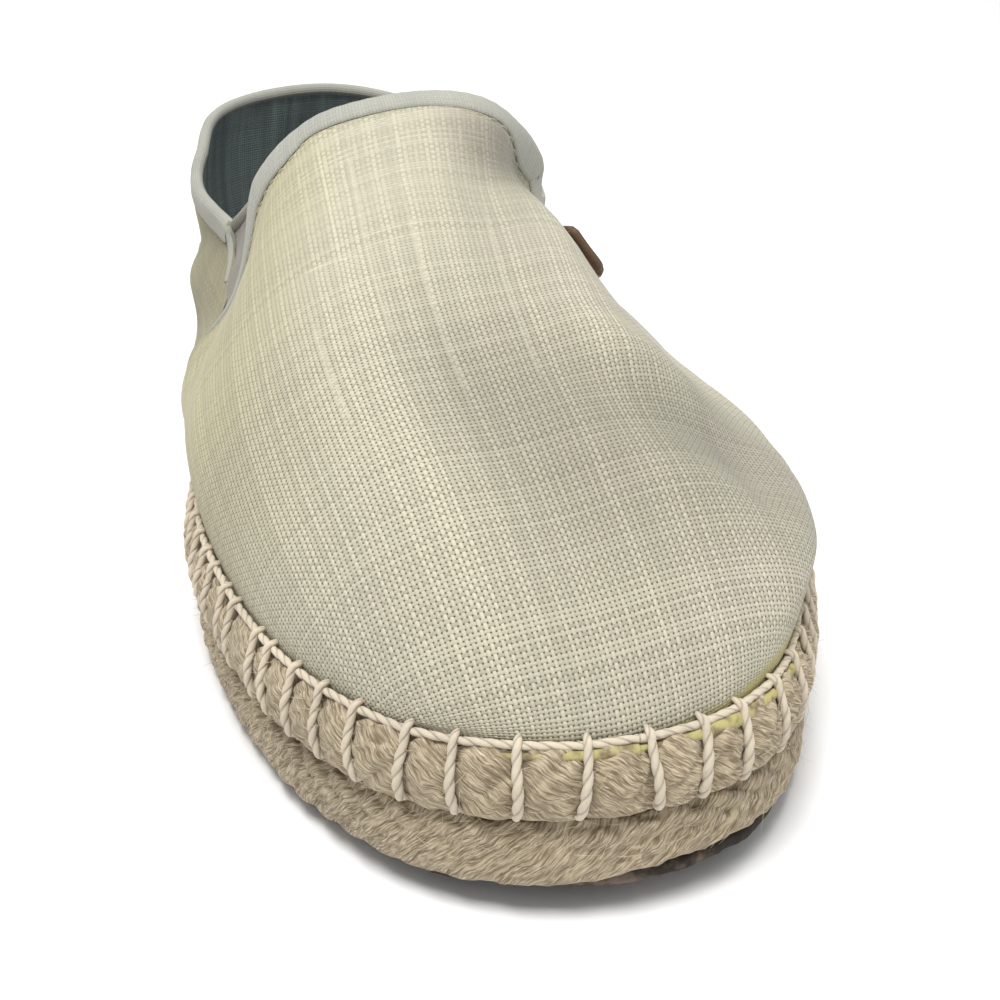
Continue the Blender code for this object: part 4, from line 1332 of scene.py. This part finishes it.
def course_point(turn, angle, bottom, height, bulge, inset, relief, full=1.0):
    """Points of the side of a course of jute: half an ellipse standing on the sole's outline, from
    the foot at -90 degrees to the crest at 90, moved out by the relief. Over 1, full makes its
    lower half stand out further."""
    shape = np.broadcast_shapes(np.shape(turn), np.shape(angle))
    line, out = sole_line(np.broadcast_to(signed_turn(turn), shape).ravel())
    angle = np.broadcast_to(angle, shape).ravel()
    relief = np.broadcast_to(relief, shape).ravel()
    hang = 1 - np.cos(np.minimum(angle, math.pi / 2))
    depth = inset + bulge * np.where(angle < 0, hang**full, hang)
    extra = np.clip(angle - math.pi / 2, 0, None)
    depth = depth + extra * UPPER_BRAID_HEIGHT / 2
    flat = line - out * (depth - relief * np.cos(angle))[:, None]
    low = np.broadcast_to(bottom, shape).ravel()
    high = np.broadcast_to(height, shape).ravel()
    z = low + high * (0.5 + 0.5 * np.sin(angle)) + relief * np.sin(angle) + spring(line[:, 1])
    return np.column_stack([flat, z]).reshape(shape + (3,))


def stitch_gap(turn):
    """Way along the join to the nearest blanket stitch."""
    run, whole = loop_run(turn)
    stitch_run, _ = loop_run(stitch_places())
    return np.abs((run[..., None] - stitch_run + whole / 2) % whole - whole / 2).min(-1)


def roll_relief(turn, angle):
    """Height of the roll's strands and pinches: slanted round ridges, bulging between two
    stitches and drawn in under each."""
    run, whole = loop_run(turn)
    gap = stitch_gap(turn)
    pinch = -PINCH * np.exp(-(gap / 0.0011)**2) * np.clip((angle + 1.2) / 0.5, 0, 1)
    pinch = pinch - PINCH_FOOT * np.exp(-(gap / 0.0014)**2 - ((angle + 0.85) / 0.35)**2)
    swell = BETWEEN_SWELL * np.clip(gap / 0.0038, 0, 1)
    strands = round(whole / STRAND)
    phase = run / whole * strands + angle * STRAND_TURN
    ridge = np.abs(np.sin(math.pi * phase))**0.8
    strand = STRAND_HEIGHT * (ridge - 0.6) * (0.75 + 0.5 * ripple(np.floor(phase), 4))
    fuzz = 0.00022 * rough(run * 900, angle * 5 + run * 300, 5) + 0.00030 * rough(run * 250, angle * 2, 6)
    return pinch + swell + strand + fuzz


def rubber_shows(turn):
    """1 at the front of the toe, where the rubber shows, and 0 away from it."""
    return np.exp(-(np.abs(signed_turn(turn) + 0.045) / 0.055)**4)


def plait_foot(turn):
    """Height of the plait's foot: it hangs down over the rubber, but not at the front of the toe."""
    run, _ = loop_run(turn)
    shows = rubber_shows(turn)
    ragged = 0.00030 * ripple(run * 330, 51) + 0.00018 * ripple(run * 900, 52)
    return PLAIT_BOTTOM - 0.0019 * (1 - shows) + ragged * (0.4 + 0.6 * shows)


def plait_relief(turn, angle):
    """Height of the plait: strands that lean one way above its middle and the other way below."""
    run, whole = loop_run(turn)
    strands = round(whole / PLAIT_STRAND)
    fold = np.abs(angle - PLAIT_MIDDLE)
    phase = run / whole * strands - fold * PLAIT_TURN
    ridge = np.abs(np.sin(math.pi * phase))**0.75
    seam = -0.00045 * np.exp(-(fold / 0.16)**2)
    seam = seam - PINCH_PLAIT * np.exp(-(stitch_gap(turn) / 0.0016)**2 - ((angle - 1.15) / 0.35)**2)
    strand = PLAIT_HEIGHT * (ridge - 0.6) * (0.8 + 0.4 * ripple(np.floor(phase), 14))
    fuzz = 0.00022 * rough(run * 900, angle * 5 - run * 300, 15) + 0.00030 * rough(run * 230, angle * 2, 16)
    return strand + seam + fuzz


def make_course(name, node, material, columns, rows, top_angle, bottom, crest, bulge, inset, full,
                relief_of):
    """A course of jute as a closed ring: its side with relief, and a plain hidden back."""
    turn = turn_shares(columns)[None, :]
    angle = np.linspace(-math.pi / 2, top_angle, rows)[:, None]
    relief = relief_of(turn, angle) * np.cos(np.clip(angle, -math.pi / 2, 0) * 0.96)
    foot = bottom(turn) if callable(bottom) else np.full(turn.shape, bottom)
    tall = crest - foot
    side = course_point(turn, angle, foot, tall, bulge, inset, relief, full)
    run, whole = loop_run(turn)
    up_way = run_along(side, 0)[:, :1] * np.ones((1, columns))
    back = sole_loop(signed_turn(turn[0]), np.full(columns, CORE))
    rise = spring(back[:, 1])
    high = np.column_stack([back, np.full(columns, crest - CORE_DROP) + rise])
    low = np.column_stack([back, foot[0] + rise])
    grid = np.concatenate([side, high[None], low[None]])
    u = np.broadcast_to(run, grid.shape[:2])
    v = np.concatenate([up_way, up_way[-1:] + 0.004, up_way[-1:] + 0.012])
    faces = grid_faces(len(grid), columns, wrap_rows=True, wrap_count=True)
    return new_piece(name, grid.reshape(-1, 3), faces, [material], [node],
                     {"fibre": np.stack([u.ravel(), v.ravel()], -1)}, {"fibre": whole})


class ESPADRILLE_OT_jute(bpy.types.Operator):
    """Make the twisted roll and the plait of the sole"""
    bl_idname = "espadrille.jute"
    bl_label = "Jute courses"

    def execute(self, context):
        roll = finish_of("jute roll", jute, "twisted jute", 0.62)
        plait = finish_of("jute plait", jute, "plaited jute", -0.75)
        make_course("jute_roll", "jute_upper", roll, 1800, 30, 1.95, ROLL_BOTTOM,
                    ROLL_BOTTOM + UPPER_BRAID_HEIGHT, ROLL_BULGE, 0.0, 1.0, roll_relief)
        make_course("jute_plait", "jute_lower", plait, 1800, 24, math.pi / 2, plait_foot,
                    PLAIT_BOTTOM + LOWER_BRAID_HEIGHT, PLAIT_BULGE, PLAIT_INSET, 1.6, plait_relief)
        return {"FINISHED"}


CORD_OUT = 0.0010           # cord's middle outside the join
CORD_UP = 0.0004
CORD_FOOT = 0.012           # share up the rib at which the cord lies
CORD_STRAIGHT = 0.75        # share by which it runs straight from stitch to stitch


def cord_line(signed):
    """Points just outside the join at which the running cord lies, and the level way out there."""
    _, out = sole_line(signed)
    foot = last_points(signed, np.full(len(signed), CORD_FOOT))
    return foot + np.column_stack([out * CORD_OUT, np.full(len(signed), CORD_UP)]), out


def cord_middle(turn):
    """Middle of the running cord at turn shares: straight from one stitch to the next, a little
    further out under each stitch."""
    places = stitch_places()
    wide = np.concatenate([places[-1:] - 2, places, places[:1] + 2])
    knots, _ = cord_line(signed_turn(wide % 2))
    path = np.stack([np.interp(turn, wide, knots[:, k]) for k in range(3)], -1)
    round_path, out = cord_line(signed_turn(turn))
    return path * CORD_STRAIGHT + round_path * (1 - CORD_STRAIGHT), out


def make_running_cord():
    """The cord that joins the tops of the blanket stitches."""
    turn = turn_shares(2400)
    path, out = cord_middle(turn)
    run, _ = loop_run(turn)
    for _ in range(3):
        path = (np.roll(path, 1, axis=0) + 2 * path + np.roll(path, -1, axis=0)) / 4
    path[:, 2] += 0.00012 * ripple(run * 130, 21)
    points, faces, place = closed_tube(path, level(out), sizes().cord_radius, 10, CORD_TWIST, 2, 0.24)
    return new_piece("running_cord", points, faces, [finish_of("cord", cotton_cord)],
                     (), {"cord": place[:, ::-1]}, {"cord": 1.0})


def make_blanket_stitches():
    """One stitch after another: from the linen over the running cord, then down round the roll
    into the gap above the plait."""
    places = stitch_places()
    count = len(places)
    radius = sizes().cord_radius
    middle, out = cord_middle(places)
    order = np.arange(count)[:, None]
    wrap = np.linspace(1.95, 0.35, 9)[None, :, None]
    outward = level(out)[:, None]
    above = np.array([0, 0, 1.0])
    arc = middle[:, None] + 1.5 * radius * (np.cos(wrap) * outward + np.sin(wrap) * above)
    share = np.linspace(0, 1, 27)[None, :]
    slant = 0.0045 * (2 * hashed(order, order, 31) - 1) * share
    bow = 0.0016 * np.sin(math.pi * share) * (2 * hashed(order, order, 33) - 1)
    turn = (places[:, None] + slant + bow) % 2
    angle = 0.86 - 1.90 * share
    sink = np.clip((share - 0.86) / 0.14, 0, 1)**2
    relief = 0.00010 - 0.0016 * sink
    over = course_point(turn, angle, ROLL_BOTTOM, UPPER_BRAID_HEIGHT, ROLL_BULGE, 0.0, relief)
    path = softened(np.concatenate([arc, over], axis=1), 2, axis=1)
    path[:, :1] -= outward * 0.0009
    down = 1.10 + 0.14 * np.sin(math.pi * share) - 0.3 * sink
    thick = np.concatenate([np.linspace(0.85, 1.10, 9)[None], down], axis=1)
    size = radius * thick * (0.92 + 0.16 * hashed(order, order * 5, 35))
    size[:, 0] *= 0.7
    centre = path.mean(axis=1, keepdims=True) - outward * 0.006
    normals = unit(path - centre)
    points, faces, place = tubes(path, normals, size, 12, CORD_TWIST, 2, 0.30)
    return new_piece("blanket_stitches", points, faces, [finish_of("cord", cotton_cord)],
                     (), {"cord": place[:, ::-1]}, {"cord": 1.0})


GLUE_STEPS = 400


def make_glue():
    """Dried glue squeezed out between the cord and the roll at the toe: a bead of changing width."""
    share = np.linspace(0, 1, GLUE_STEPS)
    signed = 0.060 - 0.185 * share
    turn = signed % 2
    run, _ = loop_run(turn)
    fade = np.sin(math.pi * (0.02 + 0.96 * share))**0.4
    wide = 0.00135 * fade * np.clip(0.72 + 0.6 * ripple(run * 95, 61), 0.2, 1)
    angle = np.full(GLUE_STEPS, 1.22)
    path = course_point(turn, angle, ROLL_BOTTOM, UPPER_BRAID_HEIGHT, ROLL_BULGE, 0.0, -0.0003)
    _, out = sole_line(signed)
    slanted = unit(np.column_stack([out, np.full(GLUE_STEPS, 0.9)]))
    points, faces, _ = tubes(path[None], slanted[None], wide[None], 10)
    return new_piece("glue_bead", points, faces, [finish_of("glue", dried_glue)])


DASH_DIP = 0.00045          # how far a small stitch's ends dip into the cloth
DASH_RISE = 0.0001          # its middle's height over the cloth
DASH_GAP = 0.0003           # from a tape's edge to the stitches beside it
WELT_RADIUS = 0.00075


def dashes(at, up, offset, pitch, length, creases):
    """Paths of small stitches on the last: each is a short stretch of an edge path whose ends dip
    into the cloth."""
    path, normals = last_points(at, up), last_normals(at, up)
    path = path + normals * soft_lines(path, creases)[:, None]
    run = run_along(path[None], 1)[0]
    count = int(run[-1] / pitch)
    share = np.linspace(0, 1, 7)[None, :]
    start = (np.arange(count) + 0.2)[:, None] * pitch
    wanted = start + share * length
    place = np.stack([np.interp(wanted, run, path[:, k]) for k in range(3)], -1)
    lift = np.stack([np.interp(wanted, run, normals[:, k]) for k in range(3)], -1)
    lift = unit(lift)
    arch = offset - DASH_DIP * np.abs(2 * share - 1)**4
    return place + lift * arch[..., None], lift


def make_welt(side):
    """The ridge of the seam between vamp and quarter, from the gore's tip down to the join."""
    share = np.linspace(0.04, 1.0, 60)
    seam_at = side * (SEAM_FOOT + (GORE_TIP - SEAM_FOOT) * share - 0.002)
    path, normals = last_points(seam_at, GORE_FLOOR * share), last_normals(seam_at, GORE_FLOOR * share)
    path = path + normals * SEAM_LIFT * np.minimum(1, share * 3)[:, None]
    size = WELT_RADIUS * np.minimum(1, (1.03 - share) * 6) * np.minimum(1, share * 6)
    points, faces, place = tubes(path[None], normals[None], size[None], 10)
    name = "seam_welt_medial" if side > 0 else "seam_welt_lateral"
    new_piece(name, points, faces, [finish_of("tape", tape)], (), {"cloth": place * (1, 0.004)})


def make_seam_stitches():
    """The small stitches beside the tapes of the throat, the collar and both gores."""
    pitch, width = sizes().seam_pitch, sizes().tape_width
    at, up = throat_path(PATH_POINTS)
    keep = np.abs(at) < GORE_FRONT + 0.01
    beside = moved_edge(at, up, width * throat_width(at) + DASH_GAP)
    runs = [(beside[0][keep], beside[1][keep], SEAM_LIFT + DASH_RISE, CREASES)]
    at, up = collar_path(PATH_POINTS)
    keep = np.minimum(at, 2 - at) > GORE_BACK + 0.01
    beside = moved_edge(at, up, width + DASH_GAP)
    runs.append((beside[0][keep], beside[1][keep], DASH_RISE, QUARTER_CREASES))
    edge = np.linspace(GORE_FRONT + 0.012, GORE_TIP - 0.004, 80)
    beside = moved_edge(edge, vamp_edge(edge), width * throat_width(edge) + DASH_GAP)
    runs += [(side * beside[0], beside[1], SEAM_LIFT + DASH_RISE, CREASES) for side in (1, -1)]
    parts = [dashes(at, up, lift, pitch, pitch * 0.6, creases) for at, up, lift, creases in runs]
    paths, normals = (np.concatenate(group) for group in zip(*parts))
    points, faces, _ = tubes(paths, normals, sizes().thread_radius, 6)
    return new_piece("seam_stitches", points, faces, [finish_of("thread", sewing_thread)])


class ESPADRILLE_OT_stitching(bpy.types.Operator):
    """Make the blanket stitches, the running cord and the seams of the upper"""
    bl_idname = "espadrille.stitching"
    bl_label = "Stitching"

    def execute(self, context):
        make_running_cord()
        make_blanket_stitches()
        make_glue()
        for side in (1, -1):
            make_welt(side)
        make_seam_stitches()
        return {"FINISHED"}


FIBRE_STEPS = 6
FIBRE_RADIUS = 0.000048
FIBRE_LONGEST = 0.0050


def make_fibres():
    """Hairs of random length that lie along the jute's strands, stand off a little and curl."""
    count = sizes().fibre_count
    chance = np.random.default_rng(7)
    turn = chance.uniform(0, 2, count)
    on_roll = chance.random(count) < 0.55
    angle = np.where(on_roll, chance.uniform(-1.3, 1.5, count), chance.uniform(-1.2, 1.3, count))
    turn, angle = turn[:, None], angle[:, None]
    high = course_point(turn, angle, ROLL_BOTTOM, UPPER_BRAID_HEIGHT, ROLL_BULGE, 0.0, 0.0)
    low = course_point(turn, angle, PLAIT_BOTTOM, LOWER_BRAID_HEIGHT, PLAIT_BULGE, PLAIT_INSET, 0.0)
    root = np.where(on_roll[:, None], high[:, 0], low[:, 0])
    _, out = sole_line(signed_turn(turn[:, 0]))
    normal = np.column_stack([out * np.cos(angle), np.sin(angle[:, 0])])
    tangent = level(np.column_stack([-out[:, 1], out[:, 0]]))
    rise = np.cross(normal, tangent)
    lean = chance.normal(0.55, 0.45, count)
    direction = tangent * np.cos(lean)[:, None] + rise * np.sin(lean)[:, None]
    direction *= np.where(chance.random(count) < 0.5, 1, -1)[:, None]
    length = np.minimum(chance.gamma(3.0, 0.0008, count) + 0.0010, FIBRE_LONGEST)
    stand = chance.uniform(0.02, 0.30, count)
    curl = chance.normal(0, 0.5, (count, 3))
    share = np.linspace(0, 1, FIBRE_STEPS)[None, :, None]
    path = root[:, None] - normal[:, None] * 0.0002
    path = path + direction[:, None] * (length[:, None, None] * share)
    path = path + normal[:, None] * (stand * length)[:, None, None] * (share * (1.6 - 0.8 * share))
    path = path + curl[:, None] * (length[:, None, None] * 0.35) * share**2
    path[..., 2] = np.maximum(path[..., 2], 0.0004)
    radius = FIBRE_RADIUS * (1.15 - share[..., 0]) * np.ones((count, 1))
    normals = np.broadcast_to(normal[:, None], path.shape)
    points, faces, _ = tubes(path, normals, radius, 3)
    return new_piece("loose_fibres", points, faces, [finish_of("hairs", hairs)])


class ESPADRILLE_OT_fibres(bpy.types.Operator):
    """Make the loose hairs that stand off the jute"""
    bl_idname = "espadrille.fibres"
    bl_label = "Loose fibres"

    def execute(self, context):
        make_fibres()
        return {"FINISHED"}


SPINE_REACH = 0.72          # length of a slab's middle line, as a share of its own


def filled_slab(levels, rings):
    """Rings of points of a slab. Each level is a loop seen from above and its height. Under the
    first and over the last, rings shrink to a middle line. The toe spring lifts all of them."""
    first, last = levels[0], levels[-1]
    shares = np.linspace(0, 1, rings + 1)[1:]

    def shrunk(loop, share):
        mirrored = np.concatenate([loop[:1], loop[:0:-1]])
        spine = (loop + mirrored) / 2 * SPINE_REACH
        return loop + (spine - loop) * share

    flat = [(shrunk(first[0], share), first[1]) for share in shares[::-1]]
    flat += levels + [(shrunk(last[0], share), last[1]) for share in shares]
    return np.array([np.column_stack([loop, high + spring(loop[:, 1])]) for loop, high in flat])


class ESPADRILLE_OT_sole(bpy.types.Operator):
    """Make the rubber outsole and the footbed"""
    bl_idname = "espadrille.sole"
    bl_label = "Outsole and footbed"

    def execute(self, context):
        make_outsole()
        make_footbed()
        return {"FINISHED"}


def slab_piece(name, node, material, grid):
    """A slab from rings of points, whose first and last rings have shrunk to a middle line that is
    sewn shut: the point on one side is joined to its mirror on the other."""
    rows, count, _ = grid.shape
    half = count // 2
    order = np.arange(count)
    sewn = np.minimum(order, count - order)
    sewn[[1, -1]] = 0
    sewn[[half - 1, half + 1]] = half
    index = np.arange(rows * count)
    index[:count] = sewn
    index[-count:] = (rows - 1) * count + sewn
    faces = index[grid_faces(rows, count, wrap_count=True)]
    same = faces == np.roll(faces, -1, axis=1)
    short = same.sum(axis=1) == 1
    groups = [faces[~same.any(axis=1)], faces[short][~same[short]].reshape(-1, 3)]
    used = np.unique(np.concatenate([group.ravel() for group in groups]))
    renumber = np.zeros(rows * count, int)
    renumber[used] = np.arange(len(used))
    points = grid.reshape(-1, 3)[used]
    return new_piece(name, points, [renumber[group] for group in groups], [material], [node],
                     {"cloth": points[:, :2]})


# Heights and insets of a slab's edge, from below up
OUTSOLE_LEVELS = ((0, 0.0009), (0.0003, 0.0003), (0.0009, 0.0), (0.0019, 0.0), (0.0024, 0.0003))
FOOTBED_LEVELS = ((0.0003, 0.0010), (0.0012, 0.0004), (0.0026, 0.0004), (0.0031, 0.0010))
OUTSOLE_RINGS = 8
FOOTBED_RINGS = 12
FOOTBED_DISH = 0.0009       # how much lower the footbed's middle lies than its edge
RUBBER_MARGIN = 0.0002      # how far the rubber stays inside the solid's outline
RUBBER_SHOWN = 0.0006       # how much further out it reaches where it shows


def make_outsole():
    """The rubber sheet: its edge is a little ragged and its lower rim rounded."""
    turn = turn_shares(720)
    run, _ = loop_run(turn)
    ragged = 0.00045 * ripple(run * 260, 41) + 0.00020 * ripple(run * 900, 42)
    inset = OUTSOLE_INSET - RUBBER_SHOWN * rubber_shows(turn) + RUBBER_MARGIN + ragged
    levels = [(sole_loop(signed_turn(turn), inset + extra), z) for z, extra in OUTSOLE_LEVELS]
    grid = filled_slab(levels, OUTSOLE_RINGS)
    return slab_piece("outsole_rubber", "outsole", finish_of("rubber", rubber), grid)


def make_footbed():
    """The footbed: a thin pad that curls up a little towards its edge."""
    signed = signed_turn(turn_shares(480))
    inset = FEATHER_INSET + WALL
    levels = [(sole_loop(signed, inset + extra), FEATHER_TOP + z) for z, extra in FOOTBED_LEVELS]
    grid = filled_slab(levels, FOOTBED_RINGS)
    ring = np.arange(len(grid))[:, None] - FOOTBED_RINGS - len(FOOTBED_LEVELS) + 1
    share = np.clip(ring / FOOTBED_RINGS, 0, 1)
    grid[..., 2] -= FOOTBED_DISH * share * (2 - share)
    return slab_piece("footbed", "insole", finish_of("footbed", footbed_cloth), grid)


TAB_AT = 0.545
TAB_TOP = 0.80
TAB_LENGTH = 0.0120
TAB_HEIGHT = 0.0142
TAB_THICKNESS = 0.0018
TAB_STAND = 0.0008          # how far its fixed edge stands off the last
TAB_STEPS = 25
CURL = 0.0032               # how far the tab's free edge curls out


def make_tab():
    """The tab: a small rounded sheet fixed by its rear edge, whose free front edge curls out."""
    steps = TAB_STEPS
    along, _ = last_slopes(np.array([-TAB_AT]), np.array([TAB_TOP]))
    half = TAB_LENGTH / np.linalg.norm(along) / 2
    way = np.linspace(-1, 1, steps)
    across, down = np.meshgrid(way, way)
    soft = np.sqrt(1 - (across**4 * down**4) * 0.36)
    across_soft, down_soft = across * soft, down * soft
    forward = (across_soft + 1) / 2
    drop = TAB_HEIGHT * (down_soft + 1) / 2
    edge_at = half * way + half - TAB_AT
    edge_up = np.full(steps, TAB_TOP)
    base = [moved_edge(edge_at, edge_up, depth) for depth in (0.0, TAB_HEIGHT)]
    slope_at, slope_up = base[1][0] - base[0][0], base[1][1] - base[0][1]
    column = forward * (steps - 1)
    order = np.arange(steps)
    at = np.interp(column, order, edge_at) + np.interp(column, order, slope_at) * drop / TAB_HEIGHT
    up = TAB_TOP + np.interp(column, order, slope_up) * drop / TAB_HEIGHT
    skin, normals = last_points(at, up), last_normals(at, up)
    stand = TAB_STAND + CURL * forward**1.6
    relief = soft_lines(skin, QUARTER_CREASES) * (1 - forward)
    outer = skin + normals * (stand + relief + TAB_THICKNESS)[..., None]
    inner = skin + normals * (stand + relief)[..., None]
    points, faces, _, source = shell(outer[::-1], inner[::-1], 0.25)
    rim = np.maximum(np.abs(across), np.abs(down))[::-1].ravel()
    chart = np.stack([rim[source], np.zeros(len(source))], -1)
    chart[2 * steps * steps:, 0] = 1.0
    return new_piece("leather_tab", points, faces, [finish_of("leather", leather)],
                     ["side_tab"], {"edge": chart})


class ESPADRILLE_OT_tab(bpy.types.Operator):
    """Make the leather tab on the lateral side"""
    bl_idname = "espadrille.tab"
    bl_label = "Leather tab"

    def execute(self, context):
        make_tab()
        return {"FINISHED"}


# The photograph's viewpoint: place in metres, turn, tilt and roll in radians, and lens
CAMERA_PLACE = (-0.05707, -0.29625, 0.13714)
CAMERA_TURN = 0.23892
CAMERA_TILT = 0.44610
CAMERA_ROLL = -0.026
CAMERA_LENS = 56.6
CAMERA_SENSOR = 36.0


def make_camera():
    """The camera at the photograph's viewpoint, turned to the one shoe."""
    turn, tilt, roll = CAMERA_TURN, CAMERA_TILT, CAMERA_ROLL
    forward = Vector((math.sin(turn) * math.cos(tilt), math.cos(turn) * math.cos(tilt), -math.sin(tilt)))
    right = Vector((math.cos(turn), -math.sin(turn), 0))
    above = right.cross(forward)
    right, above = (right * math.cos(roll) + above * math.sin(roll),
                    above * math.cos(roll) - right * math.sin(roll))
    data = bpy.data.cameras.new("camera")
    data.lens = CAMERA_LENS
    data.sensor_width = CAMERA_SENSOR
    data.clip_start = 0.01
    camera = bpy.data.objects.new("camera", data)
    turned = Matrix((right, above, -forward)).transposed().to_4x4()
    camera.matrix_world = Matrix.Translation(CAMERA_PLACE) @ turned
    bpy.context.scene.collection.objects.link(camera)
    bpy.context.scene.camera = camera


def make_light(name, place, aim, size, power):
    """A square soft light at a place, facing another."""
    data = bpy.data.lights.new(name, "AREA")
    data.shape = "SQUARE"
    data.size = size
    data.energy = power
    light = bpy.data.objects.new(name, data)
    light.location = place
    direction = Vector(aim) - Vector(place)
    light.rotation_euler = direction.to_track_quat("-Z", "Y").to_euler()
    bpy.context.scene.collection.objects.link(light)


FLOOR_REACH = 3.0
FLOOR_TONE = (0.90, 0.90, 0.90)
WORLD_STRENGTH = 0.50
LIGHTS = (
    # name, place, aim, size, power
    ("key", (-0.14, -0.34, 1.05), (0, -0.05, 0.04), 0.5, 12.5),
    ("fill", (0.80, -0.35, 0.60), (0, 0, 0.04), 0.9, 0.7),
    ("back", (0.10, 0.85, 0.75), (0, 0.05, 0.04), 0.8, 3.0),
)


def make_floor():
    """A plain pale floor."""
    side = FLOOR_REACH
    mesh = bpy.data.meshes.new("floor")
    corners = [(-side, -side, 0), (side, -side, 0), (side, side, 0), (-side, side, 0)]
    mesh.from_pydata(corners, [], [(0, 1, 2, 3)])
    mesh.materials.append(Finish("pale floor", 0.9).surface(rgba(FLOOR_TONE)))
    floor = bpy.data.objects.new("floor", mesh)
    bpy.context.scene.collection.objects.link(floor)


class ESPADRILLE_OT_stage(bpy.types.Operator):
    """Make the floor, the lights and the camera"""
    bl_idname = "espadrille.stage"
    bl_label = "Stage"

    def execute(self, context):
        make_floor()
        make_camera()
        world = bpy.data.worlds.new("studio")
        world.use_nodes = True
        background = world.node_tree.nodes["Background"]
        background.inputs["Color"].default_value = (1.0, 1.0, 1.0, 1.0)
        background.inputs["Strength"].default_value = WORLD_STRENGTH
        context.scene.world = world
        for name, place, aim, size, power in LIGHTS:
            make_light(name, place, aim, size, power)
        context.scene.view_settings.view_transform = "Standard"
        return {"FINISHED"}


OPERATORS = (
    ESPADRILLE_OT_upper,
    ESPADRILLE_OT_bindings,
    ESPADRILLE_OT_gores,
    ESPADRILLE_OT_jute,
    ESPADRILLE_OT_stitching,
    ESPADRILLE_OT_fibres,
    ESPADRILLE_OT_sole,
    ESPADRILLE_OT_tab,
    ESPADRILLE_OT_stage,
)


class ESPADRILLE_PT_panel(bpy.types.Panel):
    """Lists the pieces of the shoe with their sizes and colours"""
    bl_idname = "ESPADRILLE_PT_panel"
    bl_label = "Espadrille"
    bl_space_type = "VIEW_3D"
    bl_region_type = "UI"
    bl_category = "Espadrille"

    def draw(self, context):
        for operator in OPERATORS:
            self.layout.operator(operator.bl_idname)
        for kind, group in ((EspadrilleSizes, sizes()), (EspadrilleColours, colours())):
            for key in kind.__annotations__:
                self.layout.prop(group, key)


CLASSES = (EspadrilleColours, EspadrilleSizes) + OPERATORS + (ESPADRILLE_PT_panel,)


def register():
    for kind in CLASSES:
        bpy.utils.register_class(kind)
    bpy.types.Scene.espadrille_colours = PointerProperty(type=EspadrilleColours)
    bpy.types.Scene.espadrille_sizes = PointerProperty(type=EspadrilleSizes)


def unregister():
    del bpy.types.Scene.espadrille_sizes
    del bpy.types.Scene.espadrille_colours
    for kind in reversed(CLASSES):
        bpy.utils.unregister_class(kind)


def main():
    register()
    for name in ("upper", "bindings", "gores", "jute", "stitching", "fibres", "sole", "tab", "stage"):
        getattr(bpy.ops.espadrille, name)()


if __name__ == "__main__":
    main()
